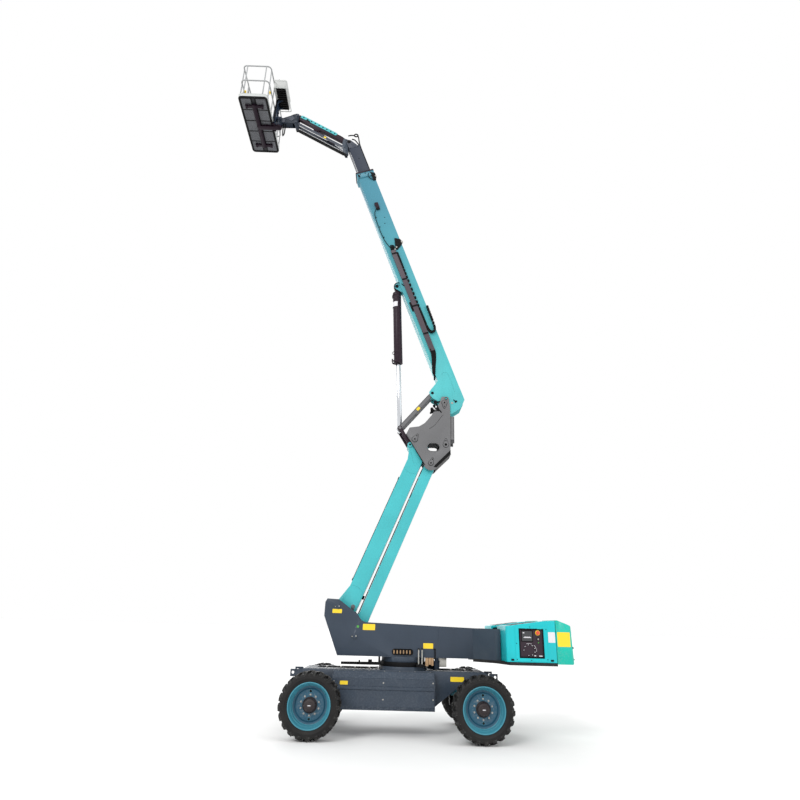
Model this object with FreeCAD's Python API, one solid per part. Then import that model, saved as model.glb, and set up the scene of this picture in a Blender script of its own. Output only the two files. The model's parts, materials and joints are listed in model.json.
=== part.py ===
# Articulated boom lift with a telescopic upper boom and a jib, parked on its four wheels
# with the tower and the upper boom raised.
#
# Millimetres.  +Z is up, -X is the machine's front (the side the basket is on), +Y is its
# right side.  The origin is on the floor under the slewing axis.
# The booms lie in the X-Z plane.  The tower boom rises backwards from the turntable, the
# knuckle on its head stays upright, and the upper boom rises forwards from the knuckle.
import FreeCAD, Part
import os
from math import atan2, cos, degrees, hypot, pi, radians, sin, sqrt

V = FreeCAD.Vector
os.makedirs("parts", exist_ok=True)

# ---------------------------------------------------------------- driving dimensions
# Running gear
WHEELBASE = 2850.0
WHEELS_MID_X = -120.0          # middle of the wheelbase, seen from the slewing axis
TYRE_D = 1030.0
TYRE_W = 355.0
WHEEL_Y = 1057.5               # middle plane of a tyre
RIM_R = 345.0
RIM_W = 300.0
RIM_WALL = 14.0
RIM_LIP = 12.0
DISC_Y = -20.0                 # the rim's disc, from the tyre's middle plane
HUB_R = 150.0
KINGPIN_Y = 900.0
KINGPIN_R = 35.0
FORK_HALF_H = 150.0            # the forks that hold the kingpins
FORK_T = 35.0
SPINDLE_R = 60.0
AXLE_R = 85.0
AXLE_PAD_Y = 290.0
DIFFERENTIAL_R = 190.0

# Chassis
FRAME_TOP = 1020.0
FRAME_BOTTOM = 450.0
FRAME_FRONT = 325.0            # frame past the front hubs
FRAME_REAR = 240.0             # frame past the rear hubs
FRAME_SLOPE = 380.0            # run of the underside's slopes, and their distance from the hubs
FRAME_END_BOTTOM = TYRE_D / 2 + 225.0  # underside over the axles
FRAME_HALF_W = 450.0
COVER_HALF_W = 620.0
COVER_BOTTOM = 405.0
LUG_HOLE_R = 25.0
LUG_T = 30.0
LUG_Y = 300.0
LUG_OUT = 150.0
LUG_Z = 940.0

# Slewing ring
RING_R = 430.0
RING_BORE_R = 300.0
RING_T = 75.0
RING_BASE = 1075.0

# Turntable
PLATE_Y = 305.0                # inner face of a turntable plate
PLATE_T = 25.0
DECK_BOTTOM = 1235.0
DECK_T = 30.0
TRAY_T = 45.0                  # trays beside the slot, hung under the deck's bottom face
TAIL_HALF_W = 1150.0
TAIL_X = 2870.0
PLATE_X1 = 1700.0              # rear end of the turntable plates
WEIGHT_X = 2570.0              # front face of the counterweight
SLOT_HALF_W = 260.0            # slot through the tail for the folded knuckle
SLOT_Z = 1500.0

# Hoods, hinged along their inner top edges
HOOD_X0 = 1712.0
HOOD_X1 = 2560.0
HOOD_RISE_L = 620.0            # length of the steeper front stretch of the top
HOOD_FRONT_Z = 1800.0
HOOD_MID_Z = 1890.0
HOOD_TOP = 1905.0
HOOD_T = 30.0
HOOD_IN_Y = PLATE_Y + PLATE_T + 0.3
HINGE_Y = PLATE_Y + PLATE_T + 30
HINGE_Z = 1765.0
HINGE_R = 10.0
HINGE_X = (1900.0, 2400.0)
HINGE_EAR = ((-55, -60), (-55, -28), (-14, 14), (16, 14), (16, -20), (-10, -60))  # y, z from the pivot
PANEL = (1935.0, 2350.0, 1310.0, 1765.0)  # x0, x1, z0, z1 of the ground control panel
PANEL_DEPTH = 160.0
PANEL_SET_BACK = 8.0           # panel face behind the hood's outer face
PANEL_GAP = 6.0

# Units under the hood and under the deck: x0, x1, y0, y1
ENGINE = (1790.0, 2480.0, 420.0, 1040.0)
ENGINE_TOP = 1700.0
VALVES = (610.0, 780.0, -280.0, -80.0)
VALVES_H = 150.0
GEARBOX_AT = (500.0, -150.0)   # x, y
GEARBOX_R = 62.0
GEARBOX_BOTTOM = 1045.0

# Tower boom and its parallel link
TOWER_PIN = (-1240.0, 2065.0)  # x, z
LINK_DROP = (340.0, -505.0)    # from a tower boom pin to the link pin below it
TOWER_LENGTH = 3612.0
TOWER_ANGLE = 67.5             # above the floor, as it stands
TOWER_DEPTH = 300.0
TOWER_W = 280.0
TOWER_PIN_OFFSET = 180.0       # the pins stand this far above the boom's middle line
LINK_DEPTH = 216.0
LINK_W = 200.0
BOOM_WALL = 10.0

# Knuckle
KNUCKLE_INNER = 165.0
KNUCKLE_T = 25.0
UPPER_PIN_OFFSET = (623.0, 839.0)  # from the tower boom's upper pin to the upper boom's pin
PIN_R = 40.0
PIN_CAP_R = 44.0
PIN_CAP_T = 12.0
PIN_PLAY = 0.05

# Upper boom
UPPER_ANGLE = 70.0             # above the floor, leaning to the front
UPPER_LENGTH = 6520.0
UPPER_DEPTH = 400.0
UPPER_W = 290.0
UPPER_RISE = 246.0             # the boom's middle line above its pin
UPPER_WALL = 8.0
DOUBLER_T = 12.0
FLY_DEPTH = 290.0
FLY_W = 230.0
FLY_WALL = 7.0
FLY_OUT = 980.0                # fly boom showing past the upper boom's mouth
FLY_INSIDE = 5050.0
PAD_PLAY = 0.3
CONDUIT_Y = (-112.0, -32.0)    # channel over the fly boom, through the mouth's pads

# Lift linkage of the upper boom, from the upper boom's pin with the boom level
GUIDE_PIN = (-305.0, -162.0)
CYLINDER_PIN = (-3135.0, -29.0)
EAR_OFFSET = (-97.0, -109.0)   # thrust link's lower pin, from the tower boom's upper pin
GUIDE_LENGTH = 1065.0
GUIDE_BAR_Y = (95.0, 120.0)
GUIDE_PIN_R = 30.0
THRUST_LENGTH = 425.0
THRUST_BAR_Y = (146.0, 158.0)
JOINT_PIN_R = 32.0
LIFT_BARREL_R = 97.0
LIFT_BARREL_L = 1960.0
LIFT_ROD_R = 55.0
LIFT_PIN_R = 35.0

# Tower lift cylinders, one on each side of the parallel link
TOWER_CYLINDER_FOOT = (-1130.0, 1345.0)
TOWER_CYLINDER_LUG = (110.0, -250.0)   # on the tower boom, from its lower pin
TOWER_CYLINDER_Y = 225.0
TOWER_BARREL_R = 48.0
TOWER_BARREL_L = 400.0
TOWER_ROD_R = 28.0
TOWER_FOOT_R = 25.0

# Jib
JIB_ANGLE = 31.0
JIB_LENGTH = 1560.0
JIB_PIN = (-92.0, 85.0)        # from the fly head's pin
JIB_LINK_DROP = (-23.0, -229.0)
HOSE_BAR_DROP = (50.0, -540.0)
JIB_TUBE = 120.0
JIB_HALF_W = 46.0
JIB_PIN_R = 22.0
BRACKET_HALF = 86.0            # outer faces of the plates at both ends of the jib
BRACKET_T = 14.0
LINK_BAR_Y = (52.0, 66.0)
HOSE_BAR_Y = (96.0, 122.0)
FLY_PIN_R = 32.0
JIB_CYLINDER_LUG = (-900.0, -100.0)    # from the jib's pin, with the jib level
JIB_CYLINDER_FOOT_DROP = (30.0, -330.0)
JIB_BARREL_R = 34.0
JIB_BARREL_L = 680.0
JIB_ROD_R = 17.0
JIB_CYLINDER_PIN_R = 16.0

# Basket
BASKET_L = 1830.0
BASKET_D = 740.0
RAIL_H = 1100.0
MID_RAIL_H = 0.52 * RAIL_H
RAIL_R = 17.0
RAIL_BEND = 90.0
POST_R = 15.0
GATE_HALF = 255.0
GATE_POST_Y = GATE_HALF + 45.0
TOE_H = 100.0
TOE_T = 8.0
FLOOR_T = 40.0
BASKET_DROP = 330.0            # basket floor below the jib head's pin
ROTATOR_OUT = 470.0            # rotator axis from the jib head's pin
ROTATOR_R = 80.0
ROTATOR_H = 200.0
ROTATOR_DROP = 310.0           # rotator's foot below the jib head's pin
BASKET_GAP = 150.0             # basket rail from the rotator axis
CARRIER_HALF_W = 60.0
POST_HALF_W = 110.0
POST_T = 50.0
CONSOLE_DROP = 260.0           # console's foot below the top rail
CONSOLE_L = 320.0
CONSOLE_H = 300.0
CONSOLE_Y = (-470.0, 215.0)


# ---------------------------------------------------------------- shape helpers
def box(x0, x1, y0, y1, z0, z1):
    return Part.makeBox(x1 - x0, y1 - y0, z1 - z0, V(x0, y0, z0))


def slab(corners, shift):
    """A flat outline of (x, y, z) corners, thickened by the shift."""
    return Part.Face(Part.makePolygon([V(*corner) for corner in corners + corners[:1]])).extrude(shift)


def plate(points, y0, y1):
    """A flat outline in the X-Z plane, thickened from y0 to y1."""
    return slab([(x, y0, z) for x, z in points], V(0, y1 - y0, 0))


def plates(points, y0, y1):
    """A plate between y0 and y1, and its mirror image on the other side."""
    return [plate(points, y0, y1), plate(points, -y1, -y0)]


def flat(points, z0, z1):
    """A flat outline in the X-Y plane, thickened from z0 to z1."""
    return slab([(x, y, z0) for x, y in points], V(0, 0, z1 - z0))


def cross_pin(x, z, r, y0, y1):
    return Part.makeCylinder(r, y1 - y0, V(x, y0, z), V(0, 1, 0))


def round_bar(start, end, r, y=0.0):
    """A round bar between two points of the X-Z plane, at the given y."""
    run = V(end[0] - start[0], 0, end[1] - start[1])
    return Part.makeCylinder(r, run.Length, V(start[0], y, start[1]), run)


def strut(start, end, depth, y0, y1):
    """A flat bar between two points of the X-Z plane, centred on the line between them."""
    length = hypot(end[0] - start[0], end[1] - start[1])
    bar = box(0, length, y0, y1, -depth / 2, depth / 2)
    tilt = degrees(atan2(end[1] - start[1], end[0] - start[0]))
    return placed(bar, start, -tilt)


def sides(side, y0, y1):
    """The two values in rising order, on the side that +1 or -1 names."""
    return sorted((side * y0, side * y1))


def hub_bar(x, side, r, y0, y1):
    """A round bar on a wheel's axis, between two distances from the middle plane."""
    low, high = sides(side, y0, y1)
    return Part.makeCylinder(r, high - low, V(x, low, HUB_Z), V(0, 1, 0))


def placed(shape, pivot, angle):
    """Turn a shape about +Y by an angle in degrees, then move its origin to the pivot."""
    turned = shape.copy()
    turned.rotate(V(0, 0, 0), V(0, 1, 0), angle)
    turned.translate(V(pivot[0], 0, pivot[1]))
    return turned


def point_at(pivot, angle, offset):
    """Where an offset (x, z) from the pivot lands when turned about +Y by the angle."""
    a = radians(angle)
    x = pivot[0] + offset[0] * cos(a) + offset[1] * sin(a)
    z = pivot[1] - offset[0] * sin(a) + offset[1] * cos(a)
    return (x, z)


def moved(point, offset):
    return (point[0] + offset[0], point[1] + offset[1])


def tube(x0, x1, half_w, z0, z1, wall):
    """A box tube along X, open at both ends."""
    outer = box(x0, x1, -half_w, half_w, z0, z1)
    return outer.cut(box(x0 - 1, x1 + 1, wall - half_w, half_w - wall, z0 + wall, z1 - wall))


def join(shapes):
    joined = shapes[0].fuse(shapes[1:]) if len(shapes) > 1 else shapes[0]
    return joined.removeSplitter()


def rounded(shape, r, keep):
    """Fillet the edges that the test picks."""
    edges = [edge for edge in shape.Edges if keep(edge)]
    return shape.makeFillet(r, edges)


def along(edge, axis):
    direction = edge.tangentAt(edge.FirstParameter)
    return abs(direction.dot(axis)) > 0.999 and edge.Curve.TypeId == "Part::GeomLine"


def towards(start, end, distance):
    """The point at a distance from the start, on the line to the end."""
    share = distance / hypot(end[0] - start[0], end[1] - start[1])
    return (start[0] + share * (end[0] - start[0]), start[1] + share * (end[1] - start[1]))


def circle_meet(a, ra, b, rb):
    """The meeting point of two circles in the X-Z plane that lies left of the line a to b."""
    d = hypot(b[0] - a[0], b[1] - a[1])
    run = (ra * ra - rb * rb + d * d) / (2 * d)
    rise = sqrt(ra * ra - run * run)
    ux, uz = (b[0] - a[0]) / d, (b[1] - a[1]) / d
    return (a[0] + run * ux - rise * uz, a[1] + run * uz + rise * ux)


# ---------------------------------------------------------------- pin positions
FRONT_X = WHEELS_MID_X - WHEELBASE / 2
REAR_X = WHEELS_MID_X + WHEELBASE / 2
HUB_Z = TYRE_D / 2
TOWER_TURN = -TOWER_ANGLE
LINK_PIN = moved(TOWER_PIN, LINK_DROP)
KNUCKLE_PIN = point_at(TOWER_PIN, TOWER_TURN, (TOWER_LENGTH, 0))
KNUCKLE_LINK_PIN = moved(KNUCKLE_PIN, LINK_DROP)
UPPER_PIN = moved(KNUCKLE_PIN, UPPER_PIN_OFFSET)
GUIDE_AT = point_at(UPPER_PIN, UPPER_ANGLE, GUIDE_PIN)
EAR_AT = moved(KNUCKLE_PIN, EAR_OFFSET)
JOINT_AT = circle_meet(EAR_AT, THRUST_LENGTH, GUIDE_AT, GUIDE_LENGTH)
CYLINDER_AT = point_at(UPPER_PIN, UPPER_ANGLE, CYLINDER_PIN)
TOWER_LUG_AT = point_at(TOWER_PIN, TOWER_TURN, TOWER_CYLINDER_LUG)
EAR_LOCAL = point_at((TOWER_LENGTH, 0), TOWER_ANGLE, EAR_OFFSET)
FLY_TIP = UPPER_LENGTH + FLY_OUT
FLY_HEAD_LOCAL = (-FLY_TIP - 166.0, 163.0)
FLY_HEAD = point_at(UPPER_PIN, UPPER_ANGLE, FLY_HEAD_LOCAL)
JIB_AT = moved(FLY_HEAD, JIB_PIN)
JIB_HEAD = point_at(JIB_AT, JIB_ANGLE, (-JIB_LENGTH, 0))
JIB_CYLINDER_FOOT = moved(JIB_AT, JIB_CYLINDER_FOOT_DROP)
JIB_CYLINDER_TOP = point_at(JIB_AT, JIB_ANGLE, JIB_CYLINDER_LUG)
ROTATOR_X = JIB_HEAD[0] - ROTATOR_OUT
FLOOR_Z = JIB_HEAD[1] - BASKET_DROP
BASKET_X1 = ROTATOR_X - BASKET_GAP
BASKET_X0 = BASKET_X1 - BASKET_D
CONSOLE_Z = FLOOR_Z + RAIL_H - CONSOLE_DROP


# ---------------------------------------------------------------- running gear and chassis
def chassis_frame():
    """Closed box frame, raised over the axles, with the slewing seat and four tie-down lugs."""
    x0, x1 = FRONT_X - FRAME_FRONT, REAR_X + FRAME_REAR
    step, shoulder, waist = 100.0, FRAME_TOP - 70.0, FRAME_TOP - 220.0
    outline = [(x0, waist), (x0, shoulder), (x0 + step, FRAME_TOP),
               (x1 - step, FRAME_TOP), (x1, shoulder), (x1, waist),
               (x1 - step, FRAME_END_BOTTOM), (REAR_X - FRAME_SLOPE, FRAME_END_BOTTOM),
               (REAR_X - 2 * FRAME_SLOPE, FRAME_BOTTOM), (FRONT_X + 2 * FRAME_SLOPE, FRAME_BOTTOM),
               (FRONT_X + FRAME_SLOPE, FRAME_END_BOTTOM), (x0 + step, FRAME_END_BOTTOM)]
    pieces = [plate(outline, -FRAME_HALF_W, FRAME_HALF_W)]
    pieces.append(Part.makeCylinder(RING_R + 15, RING_BASE - FRAME_TOP + 5, V(0, 0, FRAME_TOP - 5)))
    for x, away in ((x0, -1), (x1, 1)):
        for y in (-LUG_Y, LUG_Y):
            ends = sorted((x, x + away * LUG_OUT))
            ear = box(*ends, y - LUG_T / 2, y + LUG_T / 2, LUG_Z - 65, LUG_Z + 55)
            hole = cross_pin(x + away * (LUG_OUT - 45), LUG_Z, LUG_HOLE_R, y - LUG_T, y + LUG_T)
            pieces.append(ear.cut(hole))
    return join(pieces)


def side_cover(side):
    """Bolted side box between the wheels, with a bevelled top edge."""
    y0, y1, top, bevel = FRAME_HALF_W, COVER_HALF_W, FRAME_TOP - 15.0, 90.0
    section = [(y0, COVER_BOTTOM), (y1, COVER_BOTTOM), (y1, top - 115), (y1 - bevel, top), (y0, top)]
    x0, x1 = FRONT_X + 300, REAR_X - 2 * FRAME_SLOPE
    return slab([(x0, side * y, z) for y, z in section], V(x1 - x0, 0, 0))


def axle(x, half_l):
    """Axle beam with its differential housing and the two pads that meet the frame."""
    pieces = [Part.makeCylinder(AXLE_R, 2 * half_l, V(x, -half_l, HUB_Z), V(0, 1, 0)),
              Part.makeSphere(DIFFERENTIAL_R, V(x, 0, HUB_Z))]
    for side in (-1, 1):
        pad = sides(side, AXLE_PAD_Y, AXLE_PAD_Y + 90)
        pieces.append(box(x - 110, x + 110, *pad, HUB_Z, FRAME_END_BOTTOM))
    return pieces


def front_axle():
    """Steering axle: its ends are forks that hold the kingpins."""
    pieces = axle(FRONT_X, KINGPIN_Y - 115.0)
    high, gap = FORK_HALF_H, FORK_HALF_H - FORK_T
    for side in (-1, 1):
        back = sides(side, KINGPIN_Y - 150, KINGPIN_Y - 95)
        pieces.append(box(FRONT_X - 80, FRONT_X + 80, *back, HUB_Z - high, HUB_Z + high))
        prong = sides(side, KINGPIN_Y - 100, KINGPIN_Y + 50)
        for z0, z1 in ((HUB_Z - high, HUB_Z - gap), (HUB_Z + gap, HUB_Z + high)):
            pieces.append(box(FRONT_X - 70, FRONT_X + 70, *prong, z0, z1))
        foot = V(FRONT_X, side * KINGPIN_Y, HUB_Z - high + 10)
        pieces.append(Part.makeCylinder(KINGPIN_R, 2 * high - 20, foot))
    return join(pieces)


def rear_axle():
    """Fixed axle with a wheel motor and a spindle at each end."""
    pieces = axle(REAR_X, WHEEL_Y - 180.0)
    for side in (-1, 1):
        pieces.append(hub_bar(REAR_X, side, HUB_R, WHEEL_Y - 300, WHEEL_Y - 160))
        pieces.append(spindle(REAR_X, side, WHEEL_Y - 200))
    return join(pieces)


def spindle(x, side, y_from):
    return hub_bar(x, side, SPINDLE_R, y_from, WHEEL_Y + 60)


def steering_knuckle(side):
    """Hub carrier that turns on the kingpin and holds the wheel's spindle."""
    half = FORK_HALF_H - FORK_T - 1
    body = Part.makeCylinder(75, 2 * half, V(FRONT_X, side * KINGPIN_Y, HUB_Z - half))
    flange = hub_bar(FRONT_X, side, 110, KINGPIN_Y + 20, WHEEL_Y - 60)
    foot = V(FRONT_X, side * KINGPIN_Y, HUB_Z - FORK_HALF_H)
    bore = Part.makeCylinder(KINGPIN_R + PIN_PLAY, 2 * FORK_HALF_H, foot)
    return join([body, flange, spindle(FRONT_X, side, KINGPIN_Y)]).cut(bore)


def turned_about_y(profile, x, side):
    """Revolve an (r, y) outline about the wheel axle; y grows outwards."""
    points = [V(x + r, side * (WHEEL_Y + y), HUB_Z) for r, y in profile + profile[:1]]
    face = Part.Face(Part.makePolygon(points))
    return face.revolve(V(x, 0, HUB_Z), V(0, 1, 0), 360)


def tyre(x, side):
    """Block tyre with a rounded shoulder, seated between the rim's flanges."""
    r, w = TYRE_D / 2, TYRE_W / 2
    bead, seat = RIM_W / 2, RIM_R + 8
    inner = [(RIM_R, RIM_LIP - bead), (seat, RIM_LIP - bead), (seat, -bead), (RIM_R + 35, 12 - w)]
    shoulder = [(r - 75, -w), (r - 22, 18 - w), (r - 8, 48 - w), (r, 95 - w)]
    mirrored = [(radius, -y) for radius, y in reversed(inner + shoulder)]
    return turned_about_y(inner + shoulder + mirrored, x, side)


def wheel_rim(x, side):
    """Deep-dished rim: a barrel with flanges, a disc set inboard and the hub's planetary end."""
    half, lip = RIM_W / 2, RIM_R + 8
    inside, well = RIM_R - RIM_WALL, RIM_R - RIM_WALL - 25
    bore = SPINDLE_R + PIN_PLAY
    outline = [(RIM_R, RIM_LIP - half), (RIM_R, half - RIM_LIP), (lip, half - RIM_LIP), (lip, half),
               (inside, half), (well, half - 60), (well, DISC_Y + 10),
               (215, DISC_Y + 8), (190, DISC_Y + 28), (HUB_R, DISC_Y + 28), (HUB_R, DISC_Y + 120),
               (130, DISC_Y + 135), (0, DISC_Y + 135), (0, DISC_Y + 90), (bore, DISC_Y + 90),
               (bore, DISC_Y - 10), (215, DISC_Y - 10), (well, DISC_Y - 8),
               (well, 60 - half), (inside, -half), (lip, -half), (lip, RIM_LIP - half)]
    return turned_about_y(outline, x, side)


def slew_ring():
    outer = Part.makeCylinder(RING_R, RING_T, V(0, 0, RING_BASE))
    return outer.cut(Part.makeCylinder(RING_BORE_R, RING_T, V(0, 0, RING_BASE)))


# ---------------------------------------------------------------- turntable
def turntable_frame():
    """Base ring, deck and the two upright plates that hold the tower boom's pins."""
    top = RING_BASE + RING_T + PAD_PLAY
    outer = PLATE_Y + PLATE_T
    outline = [(-1205, DECK_BOTTOM), (-1483, 1901), (-1478, 2142), (-1442, 2202), (-1225, 2192),
               (-863, 1932), (-790, 1835), (-708, 1805), (1500, 1745), (PLATE_X1, 1750),
               (PLATE_X1, DECK_BOTTOM)]
    pieces = plates(outline, PLATE_Y, outer)
    pieces.append(box(-1150, PLATE_X1, -PLATE_Y - 5, PLATE_Y + 5, DECK_BOTTOM, DECK_BOTTOM + DECK_T))
    pieces.append(Part.makeCylinder(400, DECK_BOTTOM - top + 5, V(0, 0, top)))
    for x, z in (TOWER_PIN, LINK_PIN):
        pieces.append(cross_pin(x, z, PIN_R, -outer - 20, outer + 20))
        for y0, y1 in ((outer, outer + PIN_CAP_T), (-outer - PIN_CAP_T, -outer)):
            pieces.append(cross_pin(x, z, PIN_CAP_R, y0, y1))
    for side in (-1, 1):
        foot = sides(side, TOWER_CYLINDER_Y - 55, PLATE_Y)
        pieces.append(cross_pin(*TOWER_CYLINDER_FOOT, TOWER_FOOT_R, *foot))
    return join(pieces)


def hinge_bar(x, side, r, half):
    return Part.makeCylinder(r, 2 * half, V(x - half, side * HINGE_Y, HINGE_Z), V(1, 0, 0))


def hinge_ears(x, side):
    """The tail's two ears and the bar between them, for one hinge of a hood."""
    pieces = [hinge_bar(x, side, HINGE_R, 40)]
    for x0 in (x - 40, x + 25):
        ear = [(x0, side * (HINGE_Y + y), HINGE_Z + z) for y, z in HINGE_EAR]
        pieces.append(slab(ear, V(15, 0, 0)))
    return pieces


def tail_frame():
    """Trays on both sides of the slot, and the upright walls between slot and hoods."""
    outer, low = PLATE_Y + PLATE_T, DECK_BOTTOM - TRAY_T
    flare_x, flare_y = 1600.0, 680.0
    tray = [(1255, outer), (flare_x, flare_y), (1765, TAIL_HALF_W), (WEIGHT_X, TAIL_HALF_W),
            (WEIGHT_X, PLATE_Y), (PLATE_X1, PLATE_Y), (PLATE_X1, outer)]
    flare = [(1255, outer), (flare_x, flare_y), (PLATE_X1, flare_y), (PLATE_X1, flare_y - 25),
             (flare_x + 10, flare_y - 25), (1265, outer)]
    pieces = [box(PLATE_X1, WEIGHT_X, -PLATE_Y, PLATE_Y, low, DECK_BOTTOM)]
    for side in (-1, 1):
        pieces.append(flat([(x, side * y) for x, y in tray], low, DECK_BOTTOM))
        pieces.append(flat([(x, side * y) for x, y in flare], low, 1750))
        wall = sides(side, PLATE_Y, outer)
        pieces.append(box(PLATE_X1, WEIGHT_X - 10, *wall, low, HINGE_Z - 35))
        for x in HINGE_X:
            pieces += hinge_ears(x, side)
    return join(pieces)


def counterweight():
    """Cast block across the tail, slotted for the folded knuckle."""
    outline = [(WEIGHT_X, 1220), (TAIL_X - 30, 1220), (TAIL_X, 1250), (2850, 1810), (2820, 1835),
               (2600, 1915), (WEIGHT_X, 1915)]
    block = plate(outline, -TAIL_HALF_W, TAIL_HALF_W)
    block = rounded(block, 90, lambda e: abs(e.BoundBox.XMax - TAIL_X) < 25 and e.BoundBox.ZLength > 300)
    return block.cut(box(2500, 2900, -SLOT_HALF_W, SLOT_HALF_W, SLOT_Z, 2000))


def hood_top_at(x):
    """Height of the hood's top face at an x."""
    past = x - HOOD_X0 - HOOD_RISE_L
    if past < 0:
        return HOOD_MID_Z + (HOOD_MID_Z - HOOD_FRONT_Z) * past / HOOD_RISE_L
    return HOOD_MID_Z + (HOOD_TOP - HOOD_MID_Z) * past / (HOOD_X1 - HOOD_X0 - HOOD_RISE_L)


def hood(side):
    """Hollow hood, open below and inside; the left one has a window for the panel."""
    t, mid_x, foot = HOOD_T, HOOD_X0 + HOOD_RISE_L, DECK_BOTTOM + 6
    outer = [(HOOD_X0, foot), (HOOD_X0, HOOD_FRONT_Z), (mid_x, HOOD_MID_Z), (HOOD_X1, HOOD_TOP),
             (HOOD_X1, foot)]
    inner = [(HOOD_X0 + t, foot - 26), (HOOD_X0 + t, HOOD_FRONT_Z - t), (mid_x, HOOD_MID_Z - t),
             (HOOD_X1 - t, HOOD_TOP - t), (HOOD_X1 - t, foot - 26)]
    corner = side * TAIL_HALF_W
    shell = plate(outer, *sides(side, HOOD_IN_Y, TAIL_HALF_W))
    shell = rounded(shell, 60, lambda e: abs(e.BoundBox.YMin - corner) < 1 and e.BoundBox.ZLength > 300
                    and e.BoundBox.YLength < 1 and e.BoundBox.XMin < HOOD_X0 + 1)
    shell = shell.cut(plate(inner, *sides(side, HOOD_IN_Y - 10, TAIL_HALF_W - t)))
    for x in HINGE_X:
        reach = sides(side, HINGE_Y - 15, HINGE_Y + 20)
        arm = box(x - 15, x + 15, *reach, HINGE_Z - 15, hood_top_at(x) - t / 2)
        shell = shell.fuse(arm).cut(hinge_bar(x, side, HINGE_R + PIN_PLAY, 20))
    if side < 0:
        x0, x1, z0, z1 = PANEL
        window = box(x0 - PANEL_GAP, x1 + PANEL_GAP, -TAIL_HALF_W - 10, t + 10 - TAIL_HALF_W,
                     z0 - PANEL_GAP, z1 + PANEL_GAP)
        shell = shell.cut(window)
    return shell


def ground_control_panel():
    """Box behind the left hood's window, on a stand from the tray."""
    x0, x1, z0, z1 = PANEL
    face = PANEL_SET_BACK - TAIL_HALF_W
    body = box(x0, x1, face, face + PANEL_DEPTH, z0, z1)
    stand = box(x0 + 60, x1 - 60, face + 90, face + PANEL_DEPTH - 10, DECK_BOTTOM, z0 + 5)
    return join([body, stand])


def engine_block():
    """Plain block standing for the engine and pumps, in the right-hand bay."""
    return box(*ENGINE, DECK_BOTTOM, ENGINE_TOP)


def valve_block():
    return box(*VALVES, DECK_BOTTOM - VALVES_H, DECK_BOTTOM)


def slew_drive():
    """Slewing gearbox hung under the deck beside the ring."""
    x, y = GEARBOX_AT
    gearbox = Part.makeCylinder(GEARBOX_R, DECK_BOTTOM - GEARBOX_BOTTOM, V(x, y, GEARBOX_BOTTOM))
    return join([gearbox, Part.makeCylinder(85, 25, V(x, y, DECK_BOTTOM - 25))])


# ---------------------------------------------------------------- tower
def tower_section(x0, x1):
    """The boom's box section in its own frame, with the pin line at z = 0."""
    mid = -TOWER_PIN_OFFSET
    return tube(x0, x1, TOWER_W / 2, mid - TOWER_DEPTH / 2, mid + TOWER_DEPTH / 2, BOOM_WALL)


def lower_boom():
    """Tower boom: a box tube with cheek plates that carry its pins above the tube."""
    top = TOWER_DEPTH / 2 - TOWER_PIN_OFFSET
    bottom = top - TOWER_DEPTH
    w = TOWER_W / 2
    length = TOWER_LENGTH
    pieces = [tower_section(40, length - 40)]
    foot = [(-85, -40), (-60, 60), (60, 75), (420, top + 5), (420, top - 40), (60, bottom + 20),
            (40, bottom + 60)]
    head = [(length + 85, 40), (length + 60, -60), (length - 20, bottom + 60),
            (length - 60, bottom + 20), (length - 420, top - 40), (length - 420, top + 5),
            (length - 60, 75), (length + 20, 85)]
    for outline in (foot, head):
        pieces += plates(outline, w - 35, w)
    for x in (0, length):
        pieces.append(cross_pin(x, 0, 85, -w, w))
    ex, ez = EAR_LOCAL
    ear = [(ex - 130, top - 10), (ex - 50, ez + 40), (ex + 50, ez + 50), (ex + 110, top - 10)]
    pieces.append(plate(ear, -w, w))
    lug = TOWER_CYLINDER_LUG
    pieces.append(cross_pin(lug[0], lug[1], 30, -TOWER_CYLINDER_Y + 38, TOWER_CYLINDER_Y - 38))
    boom = join(pieces)
    for x in (0, length):
        boom = boom.cut(cross_pin(x, 0, PIN_R + PIN_PLAY, -w - 1, w + 1))
    return placed(boom, TOWER_PIN, TOWER_TURN)


def lower_link():
    """Parallel link below the tower boom: a box tube with solid ends and bosses."""
    half = LINK_DEPTH / 2
    pieces = [tube(60, TOWER_LENGTH - 60, LINK_W / 2, -half, half, BOOM_WALL)]
    for x in (0, TOWER_LENGTH):
        pieces.append(cross_pin(x, 0, half - 8, -LINK_W / 2, LINK_W / 2))
    for x0, x1 in ((0, 120), (TOWER_LENGTH - 120, TOWER_LENGTH)):
        pieces.append(box(x0, x1, -LINK_W / 2, LINK_W / 2, -half + 8, half - 8))
    link = join(pieces)
    for x in (0, TOWER_LENGTH):
        link = link.cut(cross_pin(x, 0, PIN_R + PIN_PLAY, -LINK_W, LINK_W))
    return placed(link, LINK_PIN, TOWER_TURN)


def tower_barrel(side):
    """Barrel of one of the two short cylinders beside the parallel link."""
    foot, lug, y = TOWER_CYLINDER_FOOT, TOWER_LUG_AT, side * TOWER_CYLINDER_Y
    body = round_bar(foot, towards(foot, lug, TOWER_BARREL_L), TOWER_BARREL_R, y)
    eye = cross_pin(*foot, 45, y - 35, y + 35)
    bore = round_bar(towards(foot, lug, 70), towards(foot, lug, TOWER_BARREL_L + 10), TOWER_ROD_R + PIN_PLAY, y)
    pin_hole = cross_pin(*foot, TOWER_FOOT_R + PIN_PLAY, y - 90, y + 90)
    return join([body, eye]).cut(bore).cut(pin_hole)


def tower_rod(side):
    """The rod that goes into that barrel, with its eye at the tower boom's lug."""
    foot, lug, y = TOWER_CYLINDER_FOOT, TOWER_LUG_AT, side * TOWER_CYLINDER_Y
    rod = round_bar(towards(foot, lug, TOWER_BARREL_L - 50), towards(lug, foot, 20), TOWER_ROD_R, y)
    return join([rod, cross_pin(*lug, 38, y - 30, y + 30)])


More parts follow.
